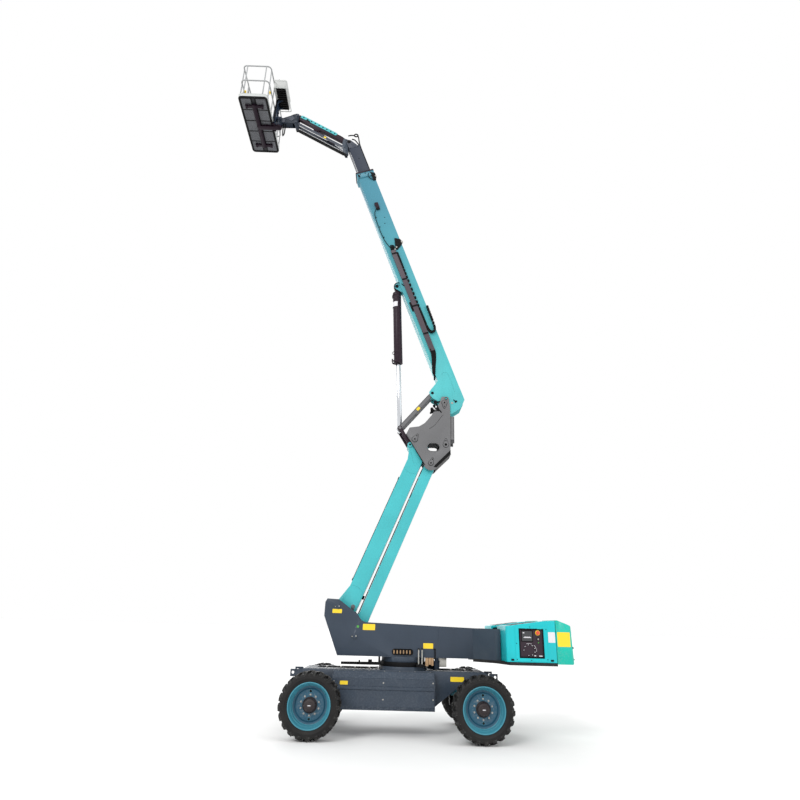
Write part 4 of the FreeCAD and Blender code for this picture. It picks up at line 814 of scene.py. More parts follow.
def turntable_side(side, name):
    """Edge flange, seams, pin keepers, hose opening and labels on one turntable plate; a black sheet in the
    hose opening is painted shade.
    """
    face = PLATE_FACE * side
    trim = Build()
    trim.box(-1200, 1250, *out_from(face, 15), 1235, 1246)
    trim.hose([(628, face, 1742), (631, face, 1640), (624, face, 1560), (640, face, 1530)], 3.5)
    trim.hose([(-700, face, 1800), (400, face, 1770), (1480, face, 1742)], 4.5)
    trim.done("plate_trim_" + name, "turntable", SLATE, 1)
    keepers, studs = Build(), Build()
    for x, z in TOWER_PINS:
        keepers.plate(rounded_rect(x - 62, x + 12, z - 14, z + 10, 8), *out_from(face + side * 11, 7))
        studs.stud(side, x + 22, PLATE_FACE + 12, z + 6, 13)
        studs.stud(side, x - 48, PLATE_FACE + 17, z - 2, 7)
    # Painted shade: a black sheet fills the hose opening, in place of the shade inside the turntable.
    keepers.plate(OPENING, *out_from(face, 2))
    keepers.done("pin_keepers_and_opening_shade_" + name, "turntable", BLACK, 1)
    studs.done("pin_studs_" + name, "turntable", ZINC, 0.5)
    rim = Build().border(rounded_rect(-227, 185, 1251, 1384, 60), OPENING, *out_from(face, 7))
    rim.done("opening_rim_" + name, "turntable", SLATE)
    fittings, hoses = Build(), Build()
    for x in range(-178, 113, 58):
        y = face + side * 4
        fittings.cyl((x, y, 1296), (x, y, 1340), 13, n=6)
        fittings.cyl((x, y, 1286), (x, y, 1350), 9, n=16)
        hoses.hose([(x, face + side * 3, 1350), (x + 12, face + side * 8, 1362),
                    (x + 40, face + side * 3, 1358)], 7)
    fittings.done("opening_fittings_" + name, "turntable", BRASS, 0.5)
    hoses.done("opening_hoses_" + name, "turntable", RUBBER, 0)
    for place, span in PLATE_LABELS:
        label("plate_label_%s_%s" % (place, name), "turntable", ROW, span, face)
    mark = Build().boss(side, -852, 1728, PLATE_FACE, PLATE_FACE + 3, 23, 24)
    mark.done("plate_mark_" + name, "turntable", GREEN, 0.4)


def under_deck():
    """Hose guide, rods and valve stack below the turntable deck."""
    pale, black = Build(), Build()
    for x in (266, 328):
        pale.cyl((x, ROD_Y, 1120), (x, ROD_Y, 1372), 13)
        black.cyl((x, ROD_Y, 1366), (x, ROD_Y, 1388), 17)
        pale.box(x - 6, x + 6, ROD_Y + 2, -PLATE_FACE, 1300, 1312)
    black.box(228, 366, -446, -386, 1078, 1128)
    black.cyl((297, -446, 1103), (297, -458, 1103), 30)
    black.box(556, 576, -352, -PLATE_FACE, 1205, 1388)
    black.box(534, 576, -356, -344, 1372, 1388)
    black.plate([(-1130, 1092), (-392, 1092), (-392, 1142), (-1130, 1132)], -292, -228)
    black.box(-458, -422, -286, -234, 1118, 1236)
    black.box(-640, -570, -300, -220, 1128, 1178)
    black.cyl((-800, -260, 1130), (-800, -260, 1166), 14)
    for x in range(-1100, -400, 44):
        black.box(x, x + 30, -298, -222, 1098, 1128)
    black.done("hose_guide", "turntable", BLACK, 2)
    pale.done("slew_rods", "turntable", ZINC, 1)
    stack = Build()
    for x0, x1, z0 in ((392, 448, 1096), (452, 498, 1120), (502, 540, 1104)):
        x = (x0 + x1) / 2
        stack.box(x0, x1, -PLATE_FACE, -250, z0, 1234)
        stack.cyl((x, -PLATE_FACE - 8, z0 + 40), (x, -PLATE_FACE, z0 + 40), 14, n=6)
    stack.done("valve_stack", "turntable", BRASS, 2)


def slew_motor():
    """Slewing motor with its flange and bolts."""
    motor = Build()
    for z0, z1, r in ((1052, 1190, 50), (1190, 1235, 36)):
        motor.cyl((MOTOR_X, MOTOR_Y, z0), (MOTOR_X, MOTOR_Y, z1), r)
    for i in range(4):
        a = QUARTER_TURN * i
        motor.bolt((MOTOR_X + 34 * math.cos(a), MOTOR_Y + 34 * math.sin(a), 1052), DOWN, 7)
    motor.collar(50, 58, -6, 6, (MOTOR_X, MOTOR_Y, 1176), UP)
    motor.done("slew_motor", "turntable", NAVY)


def deck_under_hoses():
    """Hoses from the valve stack, and two long ones inside each turntable plate."""
    hoses = Build()
    for x in range(410, 547, 34):
        hoses.hose([(x, -290, 1110), (x + 14, -262, 1076), (x + 70, -240, 1072), (x + 130, -200, 1110),
                    (x + 150, -180, 1150)], 8)
    for y in (270, 290):
        for side, _ in SIDES:
            hoses.hose([(-900, side * y, 1300), (-500, side * y, 1278), (600, side * y, 1276),
                        (1500, side * y, 1278)], 9)
    hoses.done("deck_under_hoses", "turntable", RUBBER, 0)


for hand, side_name in SIDES:
    turntable_side(hand, side_name)
under_deck()
slew_motor()
deck_under_hoses()


# ---------------------------------------------------------------- hoods, panel and counterweight
HOOD_FACE = mm(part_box("hood_right")[1].y)
HOOD_SLOPE = Matrix.Translation((1.712, 0, 1.800)) @ Matrix.Rotation(-math.atan2(90, 620), 4, "Y") @ ROW
TOP_VENTS = ((110, 330, 470, 760), (110, 330, 800, 1040), (390, 560, 560, 960))    # x, x, y, y
WINDOW = (1929, 2356, 1304, 1771)
GRILLE = (1880, 2410, 1320, 1730)
PANEL_FACE = mm(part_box("ground_control_panel")[0].y)
TAIL_X = mm(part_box("counterweight")[1].x) - 4
DIAL_X, DIAL_Z = 2100, 1424
TOGGLES = [(DIAL_X + 96 * math.cos(a), DIAL_Z + 84 * math.sin(a))
           for a in (math.radians(180 - 40 * k) for k in range(8))]
SCREEN_SPAN = (1984, 2160, 1574, 1730)
STOP_X, STOP_Z = 2256, 1706
KEY_X, KEY_Z = 2259, 1605


def louvre(made, slats, x0, x1, y0, y1):
    """Slanted slats across a flat opening."""
    step = (x1 - x0) / slats
    for i in range(slats):
        x = x0 + step * i
        made.prism([(x, y0, 0), (x + step * 0.4, y0, 6), (x + step * 0.8, y0, 6), (x + step * 0.6, y0, 0)],
                   (0, y1 - y0, 0))


def hood_top(side, name, body):
    """Framed louvres on the sloping top of one hood."""
    vents, slats = Build(HOOD_SLOPE @ FLAT), Build(HOOD_SLOPE)
    for x0, x1, near, far in TOP_VENTS:
        y0, y1 = sorted((side * near, side * far))
        frame_edge = rounded_rect(x0 - 14, x1 + 14, -y1 - 14, 14 - y0, 16)
        vents.border(frame_edge, rounded_rect(x0, x1, -y1, -y0, 6), -1, 5)
        slats.box(x0, x1, y0, y1, -2, 1.5)
        louvre(slats, 11, x0, x1, y0, y1)
    vents.done("top_vents_" + name, body, BLACK, 0.6)
    slats.done("top_slats_" + name, body, BLACK, 0.4)


def side_grille(side, body):
    """Slatted grille on the hood that has no window."""
    face = HOOD_FACE * side
    grille = Build().plate(rounded_rect(*GRILLE, 12), *out_from(face, 1.5))
    for z in range(1334, 1699, 28):
        out = face + side * 12
        grille.rail([(face, z + 20), (out, z + 6), (out, z + 2), (face, z + 12)], 1890, 2400)
    grille.done("side_grille", body, BLACK, 0.5)


def hood(side, name):
    """Window frame or grille, top louvres, catches and screws on one hood."""
    body = "hood_" + name
    face = HOOD_FACE * side
    hood_top(side, name, body)
    raised = Build()
    if side < 0:
        raised.border(rounded_rect(1868, 2412, 1254, 1812, 24), rounded_rect(*WINDOW, 6), *out_from(face, 6))
        screws = ((2125, 1796), (1886, 1531), (1886, 1284), (2127, 1274), (2400, 1290), (2400, 1760))
    else:
        raised.border(rounded_rect(1850, 2440, 1290, 1760, 24), rounded_rect(*GRILLE, 12),
                      *out_from(face, 6))
        screws = ((1865, 1305), (2425, 1305), (1865, 1745), (2425, 1745))
        side_grille(side, body)
    raised.plate(rounded_rect(1760, 2520, 1246, 1252, 2), *out_from(face, 4))
    raised.done("pressings_" + name, body, BRIGHT_TEAL, 2)
    black = Build()
    for x, z in screws:
        black.stud(side, x, HOOD_FACE + 5, z, 6)
    for x in (1810, 2480):
        black.plate(rounded_rect(x - 26, x + 26, 1262, 1290, 8), *out_from(face, 5))
        black.box(x - 18, x + 18, *out_from(face, 14), 1272, 1280)
    black.done("catches_" + name, body, BLACK, 0.8)


def panel_marks():
    """Pale strokes, arcs and toggles on the ground control panel."""
    face = PANEL_FACE
    marks = Build()
    for x0, x1, z0, z1 in ((2000, 2028, 1694, 1708), (2012, 2140, 1622, 1632), (2024, 2128, 1634, 1640),
                           (2262, 2318, 1336, 1350), (2180, 2210, 1338, 1352)):
        marks.box(x0, x1, face - 4.5, face, z0, z1)
    for start, stop in ((112, 68), (50, -8)):
        turns = [math.radians(start + (stop - start) * i / 5) for i in range(6)]
        arc = [(DIAL_X + 124 * math.cos(a), face - 1, DIAL_Z + 112 * math.sin(a)) for a in turns]
        marks.hose(arc, 2.5, n=6)
    for x, z in TOGGLES:
        marks.cyl((x, face - 4, z), (x, face - 22, z + 9), 3.6, 5.6, n=14)
    marks.done("panel_marks", "turntable", BLANK, 0.3)


def control_panel():
    """Ground control panel: display, stop button, key, lamp and a dial of toggles."""
    face = PANEL_FACE
    bezel = Build()
    bezel.border(rounded_rect(1936, 2349, 1311, 1764, 8), rounded_rect(1950, 2335, 1325, 1750, 6),
                 *out_from(face, 10))
    screen = rounded_rect(*SCREEN_SPAN, 4)
    bezel.border(rounded_rect(1972, 2172, 1562, 1742, 8), screen, *out_from(face, 7))
    for x, z in TOGGLES:
        bezel.cyl((x, face, z), (x, face - 5, z), 12, n=6)
    bezel.cyl((KEY_X, face, KEY_Z), (KEY_X, face - 9, KEY_Z), 25)
    bezel.done("panel_bezel", "turntable", BLACK, 1)
    Build().plate(screen, *out_from(face, 3)).done("panel_screen", "turntable", SCREEN, 0.3)
    panel_marks()
    button = [(0, 34), (20, 33), (31, 29), (33, 22), (27, 16), (14, 14), (14, 0), (0, 0)]
    stop = Build().lathe(button, (STOP_X, face, STOP_Z), (0, -1, 0), 36)
    stop.done("stop_button", "turntable", RED, 0.5)
    plate = Build().cyl((STOP_X, face, STOP_Z), (STOP_X, face - 4, STOP_Z), 41, n=40)
    plate.done("stop_plate", "turntable", YELLOW, 0.5)
    key = Build().cyl((KEY_X, face - 8, KEY_Z), (KEY_X, face - 13, KEY_Z), 14)
    key.box(KEY_X - 3, KEY_X + 3, face - 24, face - 12, KEY_Z - 11, KEY_Z + 11)
    key.done("panel_key", "turntable", ZINC, 0.6)
    lamp = Build().lathe([(0, 12), (6, 11), (10, 6), (11, 0), (0, 0)], (2264, face, 1550), (0, -1, 0), 20)
    lamp.done("panel_lamp", "turntable", GREEN, 0.3)


def counterweight():
    """Labels, lifting eyes, bolts and reflectors on the cast counterweight, and the hoods' labels."""
    for side, name in SIDES:
        face = HOOD_FACE * side
        label("weight_label_" + name, "turntable", ROW, (2588, 2806, 1496, 1726), face)
        label("hood_label_" + name, "hood_" + name, ROW, (2432, 2550, 1556, 1722), face, BLANK)
        iron = Build()
        for y in (380, 1060):
            for z in (1300, 1480):
                iron.bolt((TAIL_X, side * y, z), (1, 0, 0), 14)
        iron.cyl((2700, side * 640, 1872), (2700, side * 640, 1884), 34, n=32)
        iron.done("weight_iron_" + name, "turntable", BLACK, 1)
        corners = [(TAIL_X, side * 900, 1640), (TAIL_X, side * 990, 1640),
                   (TAIL_X - 4, side * 990, 1690), (TAIL_X - 4, side * 900, 1690)]
        Build().prism(corners, (5, 0, 0)).done("reflector_" + name, "turntable", RED, 1)


for hand, side_name in SIDES:
    hood(hand, side_name)
control_panel()
counterweight()


# ---------------------------------------------------------------- tower boom, link and knuckle
TOWER_Y = 140
LINK_Y = 100
TOWER_SPAN = mm((PIN["knuckle_level"] - PIN["tower_lift"]).length)     # between its two pins
EAR_X, EAR_Z = 3474, 48


def tower_side(side, name):
    """Weld lines, pin bosses and the ear's disc on one side of the tower boom."""
    face = TOWER_Y * side
    welds = Build(TOWER)
    for points in (((3025, -330), (2952, -290), (2925, -205), (2940, -110), (2990, -30)),
                   ((3100, -215), (3180, -150), (3300, -60), (3400, 20)),
                   ((440, -30), (470, -120), (452, -230), (400, -328))):
        welds.hose([(x, face, z) for x, z in points], 4.5)
    for x in (0, TOWER_SPAN):
        welds.boss(side, x, 0, TOWER_Y, TOWER_Y + 8, 74, 40)
    welds.done("tower_welds_" + name, "tower_boom", TEAL, 0.8)
    studs = Build(TOWER)
    for x in (TOWER_SPAN, 0):
        studs.boss(side, x, 0, TOWER_Y, TOWER_Y + 14, 34, 32, 12)
    studs.boss(side, EAR_X, EAR_Z, 159.4, 160, 22)
    studs.done("tower_studs_" + name, "tower_boom", BLACK, 1)
    ear = Build(TOWER).boss(side, EAR_X, EAR_Z, 158.5, 159.4, 52, 36)
    ear.done("tower_ear_disc_" + name, "tower_boom", TEAL, 0)


def tower():
    """Sides, cylinder stop, and the hoses with their glands and clamps on the tower boom."""
    for side, name in SIDES:
        tower_side(side, name)
    black = Build(TOWER)
    black.box(300, 372, -30, 30, -365, -326).cyl((336, -38, -346), (336, 38, -346), 19)
    start, end, z = 560, 2740, -21
    for y in (-70, -44, -18):
        black.hose([(x, y, z) for x in (start, 700, 1200, 2600, end)], 8)
    for x in (start, end):
        black.box(x - 26, x + 26, -86, -2, -32, -8)
    black.done("tower_hoses", "tower_boom", RUBBER, 0)
    clamps = Build(TOWER)
    for x in range(740, 2700, 440):
        clamps.box(x - 16, x + 16, -88, -2, -31, -6)
    clamps.done("tower_clamps", "tower_boom", ZINC, 1)


def tower_link():
    """Hoses, grips, pin caps and end welds on the link parallel to the tower boom."""
    line = Build(LINK)
    for y in (-92, -72):
        line.hose([(150, y, 108), (300, y, 120), (1800, y, 120), (3300, y, 120), (3460, y, 106)], 9)
    line.done("link_hoses", "tower_link", RUBBER, 0)
    grips = Build(LINK)
    for x in range(360, 3350, 480):
        grips.box(x - 14, x + 14, -104, -60, 106, 131)
    grips.box(2828, 2900, -64, 64, 100, 128)
    grips.done("link_grips", "tower_link", TEAL, 1)
    for side, name in SIDES:
        caps = Build(LINK)
        for x in (0, TOWER_SPAN):
            caps.boss(side, x, 0, LINK_Y, LINK_Y + 6, 72, 40)
        caps.hose([(x, side * LINK_Y, z) for x, z in ((3480, -98), (3440, 0), (3480, 98))], 4)
        caps.done("link_caps_" + name, "tower_link", TEAL, 0.8)


KNUCKLE_FACE = 190
GUIDE_Y = 120
# pin keepers on the knuckle: x, z, the angle of the tip, the radius and the reach of the tip
KEEPERS = ((0, 0, 62, 58, 122), (340, -505, 70, 50, 112), (623, 839, -90, 56, 118), (650, -99, 88, 56, 122))
FORK_EYE_X, FORK_EYE_Z = 659, 938
HOSE_FITTINGS = ((430, 842, 40), (356, 690, 34), (404, 762, 30), (470, 700, 32), (330, 600, 20))


def drop(x, z, turn, r, reach):
    """Drop-shaped outline round a pin, with its tip turned by an angle."""
    round_end = [(r, turn + 50 + 20 * k) for k in range(14)]
    return [(x + s * math.cos(math.radians(a)), z + s * math.sin(math.radians(a)))
            for s, a in [(reach, turn - 7), (reach, turn + 7)] + round_end]


def knuckle_cheek(side, name):
    """Drop-shaped pin keepers, edge strips, a weld and an oval frame on one cheek of the knuckle."""
    face = KNUCKLE_FACE * side
    backing, plate, bolts = Build(KNUCKLE), Build(KNUCKLE), Build(KNUCKLE)
    for x, z, turn, r, reach in KEEPERS:
        backing.plate(drop(x, z, turn, r + 8, reach + 12), *out_from(face, 5))
        plate.plate(drop(x, z, turn, r, reach), *out_from(face + side * 5, 8))
        a = math.radians(turn)
        bolts.boss(side, x, z, KNUCKLE_FACE + 13, KNUCKLE_FACE + 15, 27, bolt=17)
        bolts.stud(side, x + 84 * math.cos(a), KNUCKLE_FACE + 13, z + 84 * math.sin(a), 9)
    backing.plate([(452, -593), (750, -293), (750, -212), (700, -262), (430, -535), (396, -585)],
                  *out_from(face, 3))
    if side < 0:
        backing.plate([(448, -601), (758, -292), (750, -286), (442, -594)], -186, 186)
    backing.plate([(-196, 110), (-176, 100), (226, -548), (214, -560)], *out_from(face, 2))
    backing.hose([(600, face, 560), (560, face, 520), (420, face, 330), (300, face, 240)], 3)
    oval = rounded_rect(267, 518, -245, -69, 86, 10)
    plate.border(rounded_rect(255, 530, -257, -57, 98, 10), oval, *out_from(face, 6))
    backing.done("keeper_backs_" + name, "knuckle", BLACK, 0.8)
    plate.done("pin_drops_" + name, "knuckle", GREY)
    bolts.done("keeper_bolts_" + name, "knuckle", BLACK, 0.8)


def fork_and_guard(side, name):
    """Eye in the fork, and the guard in front of the hoses, on one side of the knuckle."""
    face = KNUCKLE_FACE * side
    eye = Build(KNUCKLE).collar(17, 27, 0, 5, (FORK_EYE_X, face, FORK_EYE_Z), (0, side, 0))
    eye.done("fork_eye_" + name, "knuckle", BLACK, 0.5)
    mark = Build(KNUCKLE).boss(side, FORK_EYE_X, FORK_EYE_Z, KNUCKLE_FACE, KNUCKLE_FACE + 2, 18)
    mark.done("fork_eye_mark_" + name, "knuckle", TEAL, 0.3)
    guard = Build(KNUCKLE).box(752, 822, *out_from(side * 104, 44), 30, 545)
    for z0, z1 in ((60, 110), (400, 450)):
        guard.box(740, 770, *out_from(side * 108, 36), z0, z1)
    guard.done("knuckle_guard_" + name, "knuckle", GREY, 3)
    edge = Build(KNUCKLE).box(820, 834, *out_from(side * 100, 52), -40, 545)
    edge.box(752, 834, *out_from(side * 104, 44), -40, 32)
    edge.done("guard_edge_" + name, "knuckle", EDGE_GREY, 2)


def knuckle():
    """Both cheeks of the boom knuckle, and its hose cluster with fittings and clips."""
    for side, name in SIDES:
        knuckle_cheek(side, name)
        fork_and_guard(side, name)
    hoses, clips = Build(KNUCKLE), Build(KNUCKLE)
    for y in range(-96, 97, 48):
        hoses.hose([(420, y, -330), (520, y, -120), (690, y, 60), (720, y, 300), (700, y, 480),
                    (640, y * 0.8, 610)], 12)
    for x, z in ((700, 20), (700, 260), (690, 440)):
        clips.box(x, 742, -124, 124, z, z + 30)
    for x, z, r in HOSE_FITTINGS:
        clips.cyl((x, -164, z), (x, -196, z), r, n=24)
        clips.cyl((x, -196, z), (x, -204, z), r * 0.5, n=6)
    clips.plate([(400, 812), (548, 862), (548, 892), (400, 848)], -178, -168)
    clips.plate([(320, 580), (520, 640), (500, 668), (330, 700)], -178, -168)
    for x, z in ((430, 842), (404, 762), (470, 700), (356, 690)):
        hoses.hose([(x, -180, z), (x + 26, -180, z - 50), (520, -179, 660), (562, -179, 610)], 16)
    hoses.done("knuckle_hoses", "knuckle", RUBBER, 0)
    clips.done("knuckle_clips", "knuckle", BLACK)


def guide_link():
    """Edge bars, pin caps and labels on the guide link."""
    top, joint = PIN["guide_link_pivot"], PIN["thrust_link_pivot"]
    guide = bar(top, joint)
    reach = (joint - top).length / MM
    middle = reach * 0.40
    for side, name in SIDES:
        face = side * GUIDE_Y
        rails = Build(guide)
        for z in (-46, 34):
            rails.box(80, reach - 60, *out_from(face, 5), z, z + 12)
        rails.done("guide_rails_" + name, "guide_link", EDGE_GREY)
        caps = Build(guide).boss(side, reach, 0, GUIDE_Y, GUIDE_Y + 14, 40, 32, 16)
        caps.done("guide_caps_" + name, "guide_link", BLACK, 1)
        label("guide_label_" + name, "guide_link", guide, (middle, middle + 84, -26, 30), face)


tower()
tower_link()
knuckle()
guide_link()


# ---------------------------------------------------------------- upper boom and its lift cylinder
UPPER_Y = 145                            # side of the boom's tube
CHEEK_Y = 157                            # side of its cheek plates
COLLAR_Y = 167                           # side of the collar at its mouth
TRAY_OUT = 205                           # outer side of the hose tray
CHAIN_PITCH = 50
CHAIN_PATH = [(-3980, 252), (-3300, 252), (-2400, 256), (-1900, 262), (-1742, 288), (-1690, 344),
              (-1734, 404), (-1860, 432), (-2380, 446)]
MOUTH_NEAR, MOUTH_FAR = 6532.5, 6574     # along the boom from its pin
PAD_X, PAD_Z = -3135, -29


def chain(made, path, half, y0, y1):
    """Energy chain: a link for each step along a smooth path of (x, z) points."""
    line = smooth_line([Vector((x, 0, z)) for x, z in path], 8)
    last = line[0]
    for there in line[1:]:
        if (there - last).length < CHAIN_PITCH:
            continue
        run = (there - last).normalized()
        up = Vector((-run.z, 0, run.x))
        middle = (there + last) / 2
        corners = [middle + run * a * 26 + up * b * half for a, b in ((-1, -1), (1, -1), (1, 1), (-1, 1))]
        made.plate([(c.x, c.z) for c in corners], y0, y1)
        made.cyl((middle.x, y0 - 3, middle.z), (middle.x, y1 + 3, middle.z), half * 0.5, n=12)
        last = there


def boom_hoses():
    """Bundle from the knuckle through the hose tray, and single hoses along the upper boom."""
    hoses = Build(UPPER)
    for i in range(5):
        y, z = -198 + 9 * i, 140 + 23 * i
        hoses.hose([(-1300, y, z), (-1200, y, z - 6), (-1050, y + 6, z - 40 - 3 * i),
                    (-900, y + 8, z - 88 - 7 * i), (-760, -176 + 2 * i, z - 130 - 12 * i),
                    (-670, -150 + 8 * i, 14 + 5 * i), (-609, -112 + 10 * i, -2)], 15)
        hoses.hose([(-4040, y, z), (-4110, y, z + 4), (-4180, y + 14, z + 18), (-4230, y + 40, z + 40)], 10)
    hoses.hose([(-5352, -176, 190), (-5300, -168, 128), (-5180, -158, 84), (-5000, -153, 70),
                (-4700, -153, 66), (-4380, -153, 88), (-4160, -158, 150), (-4050, -172, 186)], 8)
    hoses.hose([(-3060, -112, -113), (-3145, -118, -89), (-3191, -124, -39), (-3187, -128, 27),
                (-3147, -134, 79), (-3103, -142, 97), (-3060, -154, 120)], 11)
    hoses.hose([(-6480, -168, 330), (-6400, -172, 290), (-6300, -168, 330), (-6250, -160, 390)], 9)
    hoses.done("boom_hoses", "upper_boom", RUBBER, 0)


def boom_brackets():
    """Junction box, hose plates, tray straps and rollers on the near side of the upper boom; the black block
    just below the junction box is a painted shadow.
    """
    junction = Build(UPPER).plate(rounded_rect(-5522, -5360, 172, 262, 14), -198, -UPPER_Y)
    junction.done("junction_box", "upper_boom", PLUM, 3)
    # Painted shadow: this black block below the junction box stands in for the shadow that the box casts.
    dark = Build(UPPER).plate(rounded_rect(-5362, -5318, 176, 258, 10), -192, -UPPER_Y)
    for x in (-5120, -4820, -4500):
        dark.box(x - 9, x + 9, -164, -UPPER_Y, 84, 106)
    dark.plate([(-4400, 330), (-4080, 250), (-4060, 300), (-4180, 452), (-4260, 470), (-4330, 452)],
               -163, -UPPER_Y)
    dark.plate([(-6500, 380), (-6230, 380), (-6230, 450), (-6320, 482), (-6440, 482)], -176, -UPPER_Y)
    dark.plate([(-6500, 46), (-6420, 46), (-6400, 90), (-6500, 90)], -176, -UPPER_Y)
    dark.box(-2590, -2350, -170, -UPPER_Y, 84, 130)
    for x in range(-3950, -1699, 750):
        dark.box(x - 20, x + 20, -TRAY_OUT - 6, -TRAY_OUT + 4, 116, 240)
    dark.boss(-1, 39, 261, CHEEK_Y, 172, 20, 20)
    dark.box(0, 66, -166, -CHEEK_Y, 226, 240)
    dark.hose([(60, -160, 250), (20, -168, 236), (-14, -160, 214)], 8)
    dark.done("boom_brackets", "upper_boom", BLACK)
    rollers = Build(UPPER)
    for x, z, y0, y1, r in ((-4240, 468, 172, 120, 26), (-4120, 290, 186, 163, 20),
                            (-4070, 240, 190, 163, 17), (-6330, 470, 186, 120, 20),
                            (46, 164, CHEEK_Y, 163, 24)):
        rollers.boss(-1, x, z, y0, y1, r)
    rollers.done("boom_rollers", "upper_boom", ZINC, 1)


def boom_side(side, name):
    """Weld lines, mouth collar, pin boss and bolts on one side of the upper boom."""
    guide = UPPER.inverted() @ PIN["guide_link_pivot"]
    welds = Build(UPPER)
    for points, r in ((((-652, 176), (-690, 236), (-650, 300), (-560, 318), (-180, 314)), 5),
                      (((-1480, 200), (-1180, 130), (-720, 62)), 3)):
        welds.hose([(x, side * CHEEK_Y, z) for x, z in points], r)
    welds.border(rounded_rect(-6536, -6396, 22, 470, 8), rounded_rect(-6520, -6410, 40, 452, 4),
                 *out_from(side * COLLAR_Y, 5))
    welds.boss(side, 0, 0, CHEEK_Y, CHEEK_Y + 5, 96, 44)
    welds.done("boom_welds_" + name, "upper_boom", BOOM_TEAL, 0.8)
    studs = Build(UPPER)
    for z in (120, 246, 372):
        studs.stud(side, -6500, COLLAR_Y + 1, z, 9)
    for x, z in ((-5060, 300), (-4890, 246), (-900, 240)):
        studs.stud(side, x, UPPER_Y, z, 9)
    studs.boss(side, PAD_X, PAD_Z, 85, 97, 40, 30, 10)
    studs.boss(side, guide.x, guide.z, CHEEK_Y, CHEEK_Y + 2.5, 32, 32)
    studs.done("boom_studs_" + name, "upper_boom", BLACK, 0.6)


def upper():
    """Energy chain, hoses, brackets, sides and mouth ring of the upper boom."""
    links = Build(UPPER)
    chain(links, CHAIN_PATH, 25, -TRAY_OUT, -TRAY_OUT + 48)
    links.done("energy_chain", "upper_boom", BLACK, 1)
    boom_hoses()
    boom_brackets()
    for side, name in SIDES:
        boom_side(side, name)
    mouth = Build(UPPER @ ENDWISE)
    mouth.border(rounded_rect(-178, 178, 12, 480, 16), rounded_rect(-140, 140, 52, 440, 8),
                 MOUTH_NEAR, MOUTH_FAR)
    mouth.done("mouth_ring", "upper_boom", PLUM, 1)


def lift_barrel():
    """Bands, ports and a clip on the lift cylinder's barrel."""
    top = PIN["lift_barrel_pivot"]
    low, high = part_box("lift_cylinder_barrel")
    foot = Vector(((low.x + high.x) / 2, 0, low.z))
    run = (foot - top).normalized()
    at = Matrix.Translation(top) @ run.to_track_quat("-Z", "Y").to_matrix().to_4x4() @ ROW
    barrel = Build(at)
    for z, r, tall in ((-200, 101, 30), (-1925, 101, 40), (-1700, 99, 16)):
        barrel.collar(90, r, -tall / 2, tall / 2, (0, 0, z), UP, 48)
    for z in (-240, -1880):
        barrel.box(-28, 28, -108, -80, z - 26, z + 26)
    barrel.done("lift_barrel_fittings", "lift_barrel", PLUM)
    band = Build(at).collar(92, 98.6, -62, 62, (0, 0, -470), UP, 48)
    band.done("lift_barrel_band", "lift_barrel", BLANK, 0.5, slot="rail_paint")
    clip = Build(at).box(-104, -88, -26, 26, -1722, -1700)
    clip.done("lift_barrel_clip", "lift_barrel", ZINC, 1)


upper()
lift_barrel()


# ---------------------------------------------------------------- fly boom and jib
FLY_Y = 116
HEAD_X, HEAD_Z = -7666, 163              # pin of the jib bracket in the fly boom's head
LOOP_X, LOOP_Z, LOOP_R = -7840, 411, 46
JIB_Y = 46
JIB_SPAN = mm((PIN["basket_level"] - PIN["jib_lift"]).length)
GUARD_HOLE_Z = 62
RIB_PITCH, RIBS = 30, 48


def fly():
    """Conduit, hoses, head plates and studs on the fly boom."""
    conduit = Build(UPPER).box(-7460, -2600, -88, -44, 391, 424)
    conduit.done("fly_conduit", "fly", CONDUIT, 3)
    line = Build(UPPER)
    line.hose([(-7420, -96, 406), (-7000, -96, 405), (-5000, -96, 405), (-2650, -96, 405)], 13)
    loop = [(LOOP_X + LOOP_R * math.cos(a), -88 - 2 * a, LOOP_Z + LOOP_R * math.sin(a))
            for a in (math.pi / 2 + k * math.pi / 6 for k in range(13))]
    line.hose([(-7400, -96, 406), (-7520, -92, 412), (-7640, -88, 430), (-7740, -88, 448)] + loop, 16)
    line.hose([(-7850, -92, 366), (-7862, -104, 320), (-7868, -112, 262), (-7866, -115, 205)], 15)
    line.hose([(-7400, -60, 408), (-7500, -62, 404), (-7600, -80, 372), (-7690, -104, 330),
               (-7730, -116, 262)], 15)
    line.done("fly_hoses", "fly", RUBBER, 0)
    for side, name in SIDES:
        studs = Build(UPPER)
        for x, z in ((-7060, 250), (-7450, 130), (-7450, 340)):
            studs.stud(side, x, FLY_Y, z, 9)
        studs.boss(side, HEAD_X, HEAD_Z, FLY_Y + 1, FLY_Y + 20, 44, 32, 12)
        studs.done("fly_studs_" + name, "fly", BLACK, 0.8)
        plate = Build(UPPER)
        plate.plate([(-7450, 104), (-7450, 350), (-7505, 322), (-7690, 216), (-7728, 163), (-7700, 112),
                     (-7610, 102)], *out_from(side * FLY_Y, 6))
        plate.done("fly_head_plate_" + name, "fly", DARK)


